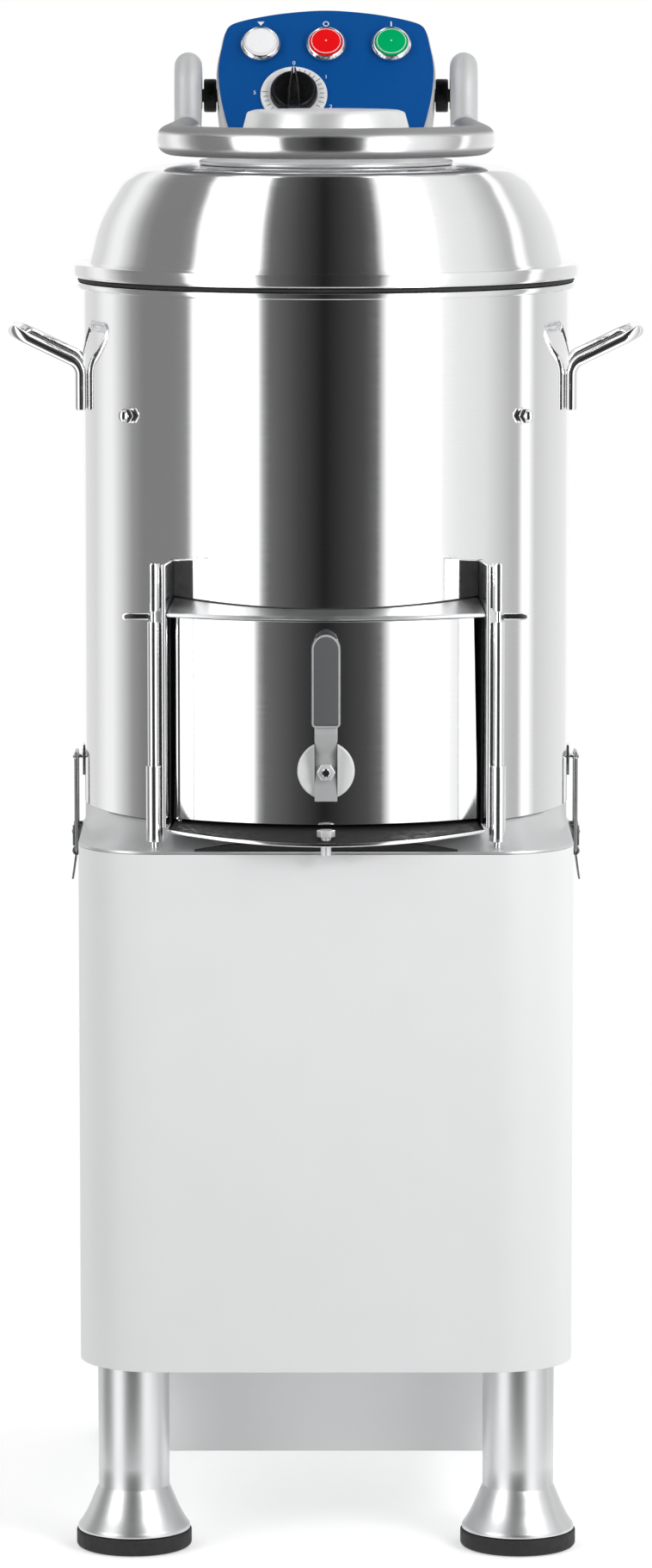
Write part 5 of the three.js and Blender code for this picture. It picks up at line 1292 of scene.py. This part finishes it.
@dataclass
class Door:
    """The curved discharge door with its lever, grip and spindle."""

    radius: float = 187.0
    thick: float = 2.0
    low: float = 527.5
    high: float = 670.3
    low_half: float = 107.0
    high_half: float = 104.0
    barrel: Pair = (2.1, 3.6)
    pivot: float = 566.0
    plate_back: float = 191.6
    plate_front: float = 194.6
    plate_width: float = 16.0
    crank: Line = ((0.0, -21.0), (0.0, 12.0), (9.0, 27.0), (9.0, 94.0))
    crank_soft: Numbers = (0.3, 4, 4, 0.3, 0.3, 6, 6, 0.3)
    grip_half: float = 10.2
    grip_span: Pair = (32.0, 97.0)
    grip_reach: Pair = (198.6, 205.6)
    rim_share: Triple = (0.9, 0.98, 0.0)
    rim_shift: Triple = (0.0, 1.2, 204.75)
    rim_radius: float = 0.75
    axle: Line = (
        (0, 179), (5, 179), (5, 188), (3, 188), (3, 202.1), (2.4, 202.6), (0, 202.6),
    )
    tongue: Numbers = (-6, 6, -32, 5, 179, 181.5)
    nut_flats: float = 11.4
    nut_reach: Pair = (194.9, 199.9)
    disc: Line = ((4, 187.3), (20, 187.3), (20, 191.3), (3.2, 191.3))

    def build(self) -> None:
        """Makes the door's pieces."""
        share, v = np.meshgrid(np.linspace(-1, 1, 73), np.linspace(0, 1, 13), indexing="ij")
        x = share * (self.low_half + (self.high_half - self.low_half) * v)
        z = self.low + (self.high - self.low) * v
        skins = [np.stack([x, -np.sqrt(r**2 - x**2), z], -1) for r in (self.radius, self.radius - self.thick)]
        knuckle = ring(*self.barrel, self.low, self.high, segments=32).put(DOOR_PIN)
        shells = [sheet(*skins), knuckle]
        make_piece("door_skin", shells, POLISHED, "door", ["door_panel"], sharp=50, bevel=0.5)
        self.lever()
        self.spindle()

    def lever(self) -> None:
        """The cranked lever and its sleeve, drawn round the pivot."""
        crank = [(-self.plate_back - out, z) for out, z in self.crank]
        crank += [(-self.plate_front - out, z) for out, z in self.crank[::-1]]
        plate = across_x(fillet(crank, self.crank_soft, 5, closed=True), self.plate_width, 0.6)
        plate = plate.put(Seat((0, 0, self.pivot)))
        make_piece("lever_plate", [plate], LEVER_STEEL, "lever", ["door_lever"], sharp=45)
        r, (low, high) = self.grip_half, self.grip_span
        turn = np.linspace(0, math.pi, 25)
        dome = np.stack([r * np.cos(turn), high - r + r * np.sin(turn)], -1)
        middle = (low + high) / 2
        foot = fillet([(-r, middle), (-r, low), (r, low), (r, middle)], 2.5, 5)[1:-1]
        outline = np.concatenate([foot, dome])
        place = facing_front(0, 0, self.pivot)
        sleeve = slab(outline, *self.grip_reach, 2.6, 6).put(place)
        make_piece("grip_sleeve", [sleeve], GRIP, "lever", ["lever_grip"], sharp=60)
        # A pale thin tube round the sleeve's front edge: a painted highlight.
        edge = slab(outline, 0, 1, 0.1).points[: len(outline)]
        edge = np.concatenate([edge, edge[:1]]) * self.rim_share + self.rim_shift
        make_piece("grip_painted_highlight", [tube(edge, self.rim_radius, 10).put(place)], GRIP_PAINTED_HIGHLIGHT, "lever")

    def spindle(self) -> None:
        """The spindle with its tongue behind the door, its nut, and the disc under the lever."""
        place = facing_front(0, 0, self.pivot)
        spindle = [part.put(place) for part in (lathe(self.axle, 72), block(*self.tongue, 0.4))]
        make_piece("spindle", spindle, POLISHED_ROD, "lever", ["lever_spindle"])
        make_piece("spindle_nut", [nut(self.nut_flats, *self.nut_reach).put(place)], PALE_ZINC, "lever")
        washer = fillet(self.disc, [0, 0.6, 1.4, 0], 4, closed=True)
        make_piece("lever_disc", [lathe(washer, 80, True).put(place)], NYLON, "lever")


@dataclass
class Head:
    """The tilted control head on its column: face, housing, buttons, timer and hinge."""

    outline_points: Line = (
        (0, 77.8), (30, 75.4), (52, 71.2), (66, 67.2), (72.4, 63.6), (75.6, 57.5), (78, 45), (80, 33),
        (80.6, 20), (79, 2), (75.3, -18), (71, -34), (68.4, -41.5), (65.4, -44.6), (60, -45),
    )
    film: Pair = (-3.0, 0.0)
    case: Pair = (-48.0, -3.3)
    case_grow: float = 1.4
    button_up: float = 45.0
    sign_up: float = 65.2
    arrow: Line = ((-2.6, 2.0), (2.6, 2.0), (0, -1.8))
    circle: Pair = (1.6, 2.3)
    bar: Line = ((-0.5, -2.2), (0.5, -2.2), (0.5, 2.2), (-0.5, 2.2))
    print_thick: float = 0.12
    print_edge: float = 0.02
    pitch: float = 49.0
    colours: tuple[tuple[str, float, Finish], ...] = (
        ("white", -1.0, WHITE_LENS), ("red", 0.0, RED_LENS), ("green", 1.0, GREEN_LENS),
    )
    bezel_line: Line = (
        (0, -36), (10.9, -36), (10.9, 0.3), (15, 0.3), (15, 3.6), (14.2, 4.6), (13.6, 5.4), (12.9, 5.9),
        (12.5, 5.6), (12.5, 0.9), (8.7, 0.9), (8.7, -15.5), (0, -15.5),
    )
    bezel_soft: Numbers = (0, 1, 0, 0.2, 0.6, 0.3, 0.3, 0.3, 0.2, 0, 0, 0, 0)
    stem_line: Line = (
        (0, -12), (8.4, -12), (8.4, 4.2), (12.2, 4.2), (12.2, 5.6), (11.7, 6.2), (10.9, 6.6),
    )
    lens_top: float = 7.4
    lens_fall: float = 0.8
    lens_radius: float = 11.6
    lens_edge: float = 10.4
    lens_ring: Numbers = (10.6, 11.1, 6.0, 6.9)
    glint: Numbers = (0.6, 7.0, 7.46)
    dial_x: float = -24.0
    scale_line: Line = (
        (3.3, -15.3), (10, -15.3), (10, 0.3), (25, 0.3), (25, 1.7), (24.4, 2.3), (3.3, 2.3),
    )
    clock: Numbers = (-19, 19, -19, 19, -17.3, -3.3)
    tick_count: int = 26
    tick_turn: float = math.radians(11)
    ticks_per_number: int = 5
    tick_start: float = 19.4
    tick_half: float = 0.22
    tick_lengths: Pair = (3.4, 4.6)
    tick_span: Pair = (2.28, 2.4)
    number_radius: float = 29.4
    number_size: float = 4.6
    number_lift: float = 0.14
    knob_base: float = 2.6
    skirt_line: Line = ((3, 0), (18, 0), (17.4, 5), (15.6, 7.4), (0, 8.2))
    knob_shaft: Line = ((0, -14.8), (3, -14.8))
    bar_line: Line = (
        (-4.5, -17.4), (4.5, -17.4), (4.4, -6), (2.6, 8), (1.5, 17.4), (-1.5, 17.4), (-2.6, 8), (-4.4, -6),
    )
    bar_span: Pair = (3.4, 15.9)
    bar_fall: float = 5.2
    fall_start: float = 2.0
    fall_length: float = 15.4
    fall_from: float = 9.0
    fall_power: float = 1.3
    pointer: Pair = (9.5, 17.0)
    pointer_half: float = 0.3
    pointer_span: Pair = (9.5, 13.2)
    pointer_lift: float = 2.9
    shaft_line: Line = (
        (0, -108.3), (4.4, -108.3), (5, -107.7), (5, 107.7), (4.4, 108.3), (0, 108.3),
    )
    bush_line: Line = ((0, 82.4), (12.5, 82.4), (12.5, 91.8), (0, 91.8))
    column_width: float = 100.0
    column_reach: Pair = (214.0, 264.0)
    column_low: float = 509.3
    column_cut: float = 48.3

    def outline(self, grow: float) -> Array:
        """The face's outline, smooth through its points and their mirror images, moved outwards by `grow`."""
        right = np.array(self.outline_points)
        left = right[::-1] * (-1, 1)
        line = curve_through(np.concatenate([right, left[:-1]]), 6, closed=True)
        step = unit(np.roll(line, -1, 0) - np.roll(line, 1, 0))
        return line + grow * np.stack([-step[:, 1], step[:, 0]], -1)

    def build(self, nodes: dict[str, bpy.types.Object]) -> None:
        """Makes the head's pieces."""
        film = slab(self.outline(0), *self.film, 0.8).put(head_seat())
        make_piece("face_film", [film], BLUE, "frame", ["face_plate"], sharp=60)
        box = slab(self.outline(self.case_grow), *self.case, 3.0, 5).put(head_seat())
        make_piece("housing", [box], HOUSING, "frame", ["control_housing"], sharp=60)
        for name, place, lens in self.colours:
            self.button(name, head_seat(place * self.pitch, self.button_up), lens)
        self.signs()
        self.scale()
        self.knob()
        self.hinge()
        self.column()

    def button(self, name: str, seat: Seat, lens: Finish) -> None:
        """One push button: a stepped bezel, a barrel behind the face and a lens with an inner ring."""
        bezel = lathe(fillet(self.bezel_line, self.bezel_soft, 3), 72).put(seat)
        make_piece(f"bezel_{name}", [bezel], BEZEL, "frame", [f"button_body_{name}"], sharp=42)
        radii = np.linspace(self.lens_edge, 0, 9)
        rise = [(r, self.lens_top - self.lens_fall * (r / self.lens_radius) ** 2) for r in radii]
        cap = lathe([*self.stem_line, *rise], 72).put(seat)
        make_piece(f"lens_{name}", [cap], lens, f"{name}_button", [f"button_{name}"], sharp=60)
        # The small white disc at the lens's middle is a painted glint, a highlight laid on as a white mark.
        ring_and_glint = [ring(*self.lens_ring, 0.15, 2, 72), rod(*self.glint)]
        make_piece(f"lens_ring_{name}", [part.put(seat) for part in ring_and_glint], WHITE_MARK, f"{name}_button")

    def signs(self) -> None:
        """Plain signs over the buttons: a downward arrow, a ring and an upright bar."""
        thick, (inner, outer) = self.print_thick, self.circle
        arrow, bar = (slab(line, 0, thick, self.print_edge) for line in (self.arrow, self.bar))
        circle = lathe([(inner, 0), (outer, 0), (outer, thick), (inner, thick)], 48, closed=True)
        places = ((-self.pitch, arrow), (0, circle), (self.pitch, bar))
        signs = [sign.put(head_seat(x, self.sign_up)) for x, sign in places]
        make_piece("button_signs", signs, WHITE_MARK, "frame")

    def scale(self) -> None:
        """The timer's ringed scale, with its clockwork behind the face and its printed ticks and numbers."""
        seat = head_seat(self.dial_x)
        case = [lathe(self.scale_line, 96, True).put(seat), block(*self.clock, 1.0).put(seat)]
        make_piece("timer_scale", case, DIAL, "frame", ["timer_body"], sharp=42)
        ticks = []
        for i in range(self.tick_count):
            start, half = self.tick_start, self.tick_half
            end = start + self.tick_lengths[i % self.ticks_per_number == 0]
            plan = [(-half, start), (half, start), (half, end), (-half, end)]
            bar = slab(plan, *self.tick_span, self.print_edge)
            c, s = math.cos(i * self.tick_turn), math.sin(i * self.tick_turn)
            bar.points[:, :2] = bar.points[:, :2] @ np.array([(c, -s), (s, c)])
            ticks.append(bar.put(seat))
        make_piece("scale_ticks", ticks, BLACK_MARK, "frame")
        step = self.ticks_per_number * self.tick_turn
        numbers = [self.number(str(i), i * step).put(seat) for i in range(6)]
        make_piece("scale_numbers", numbers, WHITE_MARK, "frame")

    def fall(self, up: Array) -> Array:
        """How far the grip's top lies below its highest line, at some heights up the face."""
        share = np.clip((up - self.fall_start) / self.fall_length, 0, 1)
        return self.bar_fall * share**self.fall_power

    def knob(self) -> None:
        """The timer's knob: a skirt, a tapered grip that falls towards its tip, and a white line on it."""
        seat, base = head_seat(self.dial_x), self.knob_base
        skirt = [*self.knob_shaft, *[(r, base + z) for r, z in self.skirt_line]]
        skirt = lathe(fillet(skirt, [0, 0.3, 0, 0.6, 2, 2, 0], 5), 80)
        low, high = self.bar_span
        bar = slab(fillet(self.bar_line, 1.0, 3, closed=True), base + low, base + high, 1.6, 4)
        upper = bar.points[:, 2] > base + self.fall_from
        bar.points[upper, 2] -= self.fall(bar.points[upper, 1])
        parts = [skirt.put(seat), bar.put(seat)]
        make_piece("knob_with_grip", parts, BLACK, "knob", ["timer_knob"], sharp=50)
        (start, end), half, (low, high) = self.pointer, self.pointer_half, self.pointer_span
        plan = [(-half, start), (half, start), (half, end), (-half, end)]
        line = slab(plan, base + low, base + high, self.print_edge)
        line.points[:, 2] += self.pointer_lift - self.fall(line.points[:, 1])
        make_piece("knob_line", [line.put(seat)], WHITE_MARK, "knob")

    def number(self, text: str, turn: float) -> Shell:
        """A printed figure beside the scale, upright on the face."""
        curve = bpy.data.curves.new("figure", "FONT")
        curve.body, curve.size = text, self.number_size
        curve.align_x = curve.align_y = "CENTER"
        holder = bpy.data.objects.new("figure", curve)
        bpy.context.scene.collection.objects.link(holder)
        flat = bpy.data.meshes.new_from_object(holder.evaluated_get(bpy.context.evaluated_depsgraph_get()))
        points = np.empty(len(flat.vertices) * 3)
        flat.vertices.foreach_get("co", points)
        faces = [list(face.vertices) for face in flat.polygons]
        bpy.data.objects.remove(holder)
        bpy.data.curves.remove(curve)
        radius = self.number_radius
        place = np.array([radius * math.sin(turn), radius * math.cos(turn), self.number_lift])
        return Shell(points.reshape(-1, 3) * (1, 1, 0) + place, faces)

    def hinge(self) -> None:
        """The shaft through the head that the lid turns on, with a bush at each side."""
        axis = facing_right(0, *LID_AXIS)
        bush = lathe(fillet(self.bush_line, [0, 1.2, 1.2, 0], 4), 56).put(axis)
        shells = [lathe(self.shaft_line, 40).put(axis), *[bush.mirrored(side) for _, side in SIDES]]
        make_piece("hinge_bar", shells, BLACK, "frame", ["hinge_shaft"])

    def column(self) -> None:
        """The box column behind the drum, cut along the head's back."""
        face_y, face_z = HEAD_ORIGIN
        c, s = math.cos(HEAD_TILT), math.sin(HEAD_TILT)
        start_y, start_z = face_y + self.column_cut * c, face_z - self.column_cut * s
        front, back = self.column_reach
        tops = [start_z + (y - start_y) * c / s for y in (front, back)]
        side = [(front, self.column_low), (back, self.column_low), (back, tops[1]), (front, tops[0])]
        box = across_x(fillet(side, 0.3, 2, closed=True), self.column_width, 4.0)
        make_piece("column_box", [box], SATIN, "frame", ["control_column"], sharp=50)


@dataclass
class Latches:
    """The toggle latch on each side: base, lever and wire loop."""

    wall_x: float = 175.0
    pin_out: float = 6.0
    pin_height: float = 499.0
    pin_radius: float = 1.5
    pin_half: float = 11.2
    plate: Numbers = (0.3, 1.8, -12, 12, 470, 505)
    ear_reach: Pair = (0.3, 8.8)
    ear_starts: Pair = (-12.0, 10.4)
    ear_thick: float = 1.6
    ear_span: Pair = (489.0, 504.0)
    rivet_line: Line = ((0, 1.6), (2.2, 1.6), (2.2, 2.6), (0, 3.2))
    rivet_places: Line = ((-7, 476), (7, 476))
    blade_line: Line = (
        (-0.7, -2.2), (-0.7, -14), (2.3, -35), (3.7, -35), (0.7, -14), (0.7, -2.2),
    )
    blade_half: float = 9.8
    eyes: Line = ((2.0, 0.0), (1.8, -14.0))
    eye_wall: float = 1.4
    wire_line: Line = ((2, -14), (14.4, -14), (14.4, 57))
    wire_radius: float = 1.3

    def build(self) -> None:
        """Makes both latches."""
        here = Seat((self.wall_x + self.pin_out, 0, self.pin_height))
        base = [part.put(Seat((self.wall_x, 0, 0))) for part in self.base()]
        arm = [part.put(here) for part in self.arm()]
        wire = [(0, -y, z) for y, z in self.wire_line] + [(0, y, z) for y, z in self.wire_line[::-1]]
        loop = tube(fillet(wire, 4, 6), self.wire_radius, 16).put(here)
        for name, side in SIDES:
            plate = [part.mirrored(side) for part in base]
            make_piece(f"latch_plate_{name}", plate, SPRING, "frame", [f"latch_base_{name}"])
            lever = [part.mirrored(side) for part in arm]
            make_piece(f"latch_arm_{name}", lever, SPRING, f"toggle_{name}", [f"latch_lever_{name}"])
            bail = [loop.mirrored(side)]
            make_piece(f"latch_wire_{name}", bail, SPRING, f"loop_{name}", [f"latch_bail_{name}"])

    def base(self) -> list[Shell]:
        """The base plate with two ears, the pin between them and two rivets."""
        shells = [block(*self.plate, 0.4)]
        for y in self.ear_starts:
            shells.append(block(*self.ear_reach, y, y + self.ear_thick, *self.ear_span, 0.5))
        pin = rod(self.pin_radius, -self.pin_half, self.pin_half)
        rivet = lathe(fillet(self.rivet_line, [0, 0, 0.8, 0], 4), 24)
        rivets = [rivet.put(facing_right(0, y, z)) for y, z in self.rivet_places]
        return [*shells, pin.put(facing_rear(self.pin_out, 0, self.pin_height)), *rivets]

    def arm(self) -> list[Shell]:
        """The lever's bent blade, with an eye for the pin and one for the wire."""
        half = self.blade_half
        blade = slab(fillet(self.blade_line, 0.4, 3, closed=True), -half, half, 0.5)
        shells = [blade.put(Seat((0, 0, 0), (1, 0, 0), (0, 0, 1), (0, 1, 0)))]
        for bore, height in self.eyes:
            eye = ring(bore, bore + self.eye_wall, -half, half, 0.3, 2, 32)
            shells.append(eye.put(facing_rear(0, 0, height)))
        return shells


@dataclass
class Drive:
    """What turns below and inside the drum: disc, shaft, pulleys, belt and motor."""

    finishes: dict[str, Finish] = field(default_factory=lambda: {
        "peeling_disc": GRIT, "drive_shaft": CAST, "motor_pulley": CAST, "v_belt": RUBBER_AND_PAINTED_SHADE,
        "motor_bracket": SATIN,
    })
    motor_place: Triple = (0.0, 175.0, 0.0)
    core_line: Line = (
        (0, 203), (56, 203), (56, 237), (57, 237), (57, 378), (56, 378), (56, 395.7), (10, 395.7),
        (10, 357.7), (0, 357.7),
    )
    core_soft: Numbers = (0, 6, 0.5, 0, 0, 0.5, 6, 1, 0, 0)
    fin: Numbers = (55.5, 61.9, -0.8, 0.8, 238, 377)
    fin_count: int = 36
    terminal_box: Numbers = (-23, 23, 31, 92, 269.5, 329.5)

    def build(self, nodes: dict[str, bpy.types.Object]) -> None:
        """Dresses the drive's solids and makes the motor's finned case."""
        for node, finish in self.finishes.items():
            dress(nodes[node], finish)
        make_piece("motor_case", self.motor(), MOTOR_PAINT, "frame", ["motor"])

    def motor(self) -> list[Shell]:
        """A motor case: a core, thin upright fins round it, two end bells and a terminal box."""
        seat = Seat(self.motor_place)
        shells = [lathe(fillet(self.core_line, self.core_soft, 4), 96).put(seat)]
        fin = block(*self.fin, 0.3)
        for turn in np.linspace(0, 2 * math.pi, self.fin_count, endpoint=False):
            c, s = math.cos(turn), math.sin(turn)
            shells.append(fin.put(Seat(self.motor_place, (c, s, 0), (-s, c, 0), (0, 0, 1))))
        shells.append(block(*self.terminal_box, 2.5).put(seat))
        return shells


# Studio


@dataclass
class Studio:
    """White surroundings, cards, lamps, floor and camera.

    The cards stand in front of the machine like a photographer's: a dark middle behind the camera, a bright
    panel on each side of it and paler walls beyond, so that polished steel shows upright bands. Behind the
    machine they leave the white surroundings in sight.
    """

    bands: Line = (
        (-180, 1.0), (-160, 0.8), (-140, 0.72), (-128, 0.95), (-121, 0.95), (-113, 0.66), (-104, 0.32),
        (-96, 0.22), (-75, 0.22), (-68, 0.27), (-63.5, 1.5), (-32.5, 1.5), (-30, 0.4), (-27, 0.14),
        (-13, 0.062), (-1, 0.014), (10, 0.045), (18, 0.07), (24, 0.15), (30, 1.5), (52, 1.5), (56, 1.0),
        (64, 0.88), (80, 0.8), (98, 0.5), (103, 0.5), (106, 1.2), (110, 1.2), (116, 0.66), (133, 0.78),
        (150, 0.85), (180, 1.0),
    )
    card_distance: float = 20.0
    floor_radius: float = 430.0
    floor_depth: float = 0.4
    floor_colour: float = 0.82
    floor_roughness: float = 0.9
    floor_glow: float = 0.45
    card_turn: float = math.radians(162)
    card_hole: float = math.radians(0.01)
    target: Triple = (0.0, -0.044, 0.5325)
    pitch: float = math.radians(7.3)
    distance: float = 4.78
    lens: float = 151.03
    sensor: float = 36.0
    lamp_places: tuple[tuple[str, Triple, float, float], ...] = (
        ("left_lamp", (-2.7, -2.3, 1.7), 1.2, 14.0), ("right_lamp", (1.15, -1.35, 1.25), 0.6, 9.0),
    )

    def build(self) -> None:
        """Makes the world, the cards, the lamps, the floor and the camera."""
        scene = bpy.context.scene
        scene.view_settings.view_transform = "Standard"
        self.world(scene)
        self.cards()
        self.lamps()
        self.floor()
        self.camera(scene)

    @staticmethod
    def world(scene: bpy.types.Scene) -> None:
        """Plain white surroundings, the same for the camera, for reflections and for light."""
        scene.world = bpy.data.worlds.new("surroundings")
        scene.world.use_nodes = True
        plain = scene.world.node_tree.nodes["Background"]
        plain.inputs["Color"].default_value = (1, 1, 1, 1)
        plain.inputs["Strength"].default_value = 1.0

    def cards(self) -> None:
        """The curved wall of cards, a large sphere about the machine that is left open behind it.

        A spot on it in direction (x, y, z) has the brightness of the band at twice atan2(x, 1 - y). That is
        the turn of the surface that mirrors the spot to the front, so bands run up a dome without bending.
        The camera looks through the cards.
        """
        made = bpy.data.materials.new("cards")
        made.use_nodes = True
        nodes, links = made.node_tree.nodes, made.node_tree.links
        nodes.clear()
        where, unit_length = nodes.new("ShaderNodeTexCoord"), nodes.new("ShaderNodeVectorMath")
        unit_length.operation = "NORMALIZE"
        split = nodes.new("ShaderNodeSeparateXYZ")
        ahead, turn, scale = (math_node(nodes, name) for name in ("SUBTRACT", "ARCTAN2", "MULTIPLY"))
        ahead.inputs[0].default_value = 1.0
        span = range_node(nodes, -math.pi / 2, math.pi / 2)
        brightest = max(level for _, level in self.bands)
        ramp = self.ramp(nodes, [((angle + 180) / 360, level / brightest) for angle, level in self.bands])
        scale.inputs[1].default_value = brightest
        glow, clear = nodes.new("ShaderNodeEmission"), nodes.new("ShaderNodeBsdfTransparent")
        seen, pick = nodes.new("ShaderNodeLightPath"), nodes.new("ShaderNodeMixShader")
        links.new(where.outputs["Object"], unit_length.inputs[0])
        links.new(unit_length.outputs[0], split.inputs[0])
        links.new(split.outputs["Y"], ahead.inputs[1])
        links.new(split.outputs["X"], turn.inputs[0])
        links.new(ahead.outputs[0], turn.inputs[1])
        links.new(turn.outputs[0], span.inputs["Value"])
        links.new(span.outputs[0], ramp.inputs[0])
        links.new(ramp.outputs[0], scale.inputs[0])
        links.new(scale.outputs[0], glow.inputs["Strength"])
        links.new(seen.outputs["Is Camera Ray"], pick.inputs[0])
        links.new(glow.outputs[0], pick.inputs[1])
        links.new(clear.outputs[0], pick.inputs[2])
        links.new(pick.outputs[0], nodes.new("ShaderNodeOutputMaterial").inputs["Surface"])
        made.cycles.emission_sampling = "NONE"
        around = np.linspace(0, 2 * math.pi, 48, endpoint=False)
        away = np.linspace(self.card_hole, self.card_turn, 40)[:, None]
        wall_points = np.stack(
            [np.sin(away) * np.cos(around), -np.cos(away) + 0 * around, np.sin(away) * np.sin(around)], -1
        )
        faces = grid_faces(len(away), len(around), False, True)
        self.stand("cards", wall_points.reshape(-1, 3) * self.card_distance, faces.tolist(), made)

    @staticmethod
    def stand(name: str, points: Array, faces: list, material: bpy.types.Material) -> None:
        """Puts a piece of the studio in the scene, in metres."""
        mesh = bpy.data.meshes.new(name)
        mesh.from_pydata(points.tolist(), [], faces)
        mesh.materials.append(material)
        holder = bpy.data.objects.new(name, mesh)
        bpy.context.scene.collection.objects.link(holder)

    @staticmethod
    def ramp(nodes: bpy.types.Nodes, stops: list[Pair]) -> bpy.types.Node:
        """A grey ramp with the given positions and levels."""
        made = nodes.new("ShaderNodeValToRGB")
        elements = made.color_ramp.elements
        while len(elements) > 1:
            elements.remove(elements[-1])
        elements[0].position, elements[0].color = stops[0][0], (*[stops[0][1]] * 3, 1)
        for position, level in stops[1:]:
            elements.new(position).color = (level, level, level, 1)
        return made

    def lamps(self) -> None:
        """Two wide soft lamps in front, one on each side."""
        for name, place, size, power in self.lamp_places:
            light = bpy.data.lights.new(name, "AREA")
            light.shape, light.size, light.energy = "DISK", size, power
            holder = bpy.data.objects.new(name, light)
            bpy.context.scene.collection.objects.link(holder)
            holder.location = place
            aim = Vector(self.target) - Vector(place)
            holder.rotation_euler = aim.to_track_quat("-Z", "Y").to_euler()

    def floor(self) -> None:
        """A pale round floor with the machine's soft shadow, white to the camera and to reflections."""
        made = bpy.data.materials.new("pale_floor")
        made.use_nodes = True
        nodes, links = made.node_tree.nodes, made.node_tree.links
        shader = nodes["Principled BSDF"]
        shader.inputs["Base Color"].default_value = (*[self.floor_colour] * 3, 1)
        shader.inputs["Roughness"].default_value = self.floor_roughness
        glow, seen = nodes.new("ShaderNodeEmission"), nodes.new("ShaderNodeLightPath")
        lit, pick = nodes.new("ShaderNodeAddShader"), nodes.new("ShaderNodeMixShader")
        mirrored, through = math_node(nodes, "MAXIMUM"), math_node(nodes, "MAXIMUM")
        glow.inputs["Strength"].default_value = self.floor_glow
        links.new(seen.outputs["Is Camera Ray"], mirrored.inputs[0])
        links.new(seen.outputs["Is Glossy Ray"], mirrored.inputs[1])
        links.new(mirrored.outputs[0], through.inputs[0])
        links.new(seen.outputs["Is Transmission Ray"], through.inputs[1])
        links.new(shader.outputs[0], lit.inputs[0])
        links.new(glow.outputs[0], lit.inputs[1])
        links.new(through.outputs[0], pick.inputs[0])
        links.new(shader.outputs[0], pick.inputs[1])
        links.new(lit.outputs[0], pick.inputs[2])
        links.new(pick.outputs[0], nodes["Material Output"].inputs["Surface"])
        disc = lathe([(0, -self.floor_depth), (self.floor_radius, -self.floor_depth)], 96)
        self.stand("floor", (disc.points + FRAME_SHIFT) * MM, disc.faces, made)

    def camera(self, scene: bpy.types.Scene) -> None:
        """A long lens straight in front, a little above the middle and tipped down."""
        data = bpy.data.cameras.new("camera")
        data.lens, data.sensor_width, data.clip_end = self.lens, self.sensor, 100.0
        holder = bpy.data.objects.new("camera", data)
        scene.collection.objects.link(holder)
        x, y, z = self.target
        back, rise = self.distance * math.cos(self.pitch), self.distance * math.sin(self.pitch)
        holder.location = (x, y - back, z + rise)
        holder.rotation_euler = (math.pi / 2 - self.pitch, 0, 0)
        scene.camera = holder


def corners(span: tuple) -> list[list[float]]:
    """A box's two corners as plain lists."""
    return [[float(v) for v in corner] for corner in span]


def main() -> None:
    """Loads the solids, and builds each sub-assembly round them."""
    logging.basicConfig(level=logging.INFO, format="%(name)s %(message)s")
    for spare in list(bpy.data.objects):
        bpy.data.objects.remove(spare)
    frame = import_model()
    nodes = frame["nodes"]
    Studio().build()
    Cabinet().build(nodes)
    Drum().build(nodes)
    Lid().build()
    Chute().build()
    Door().build()
    Head().build(nodes)
    Latches().build()
    Drive().build(nodes)
    LOG.info("all pieces built")


if __name__ == "__main__":
    main()
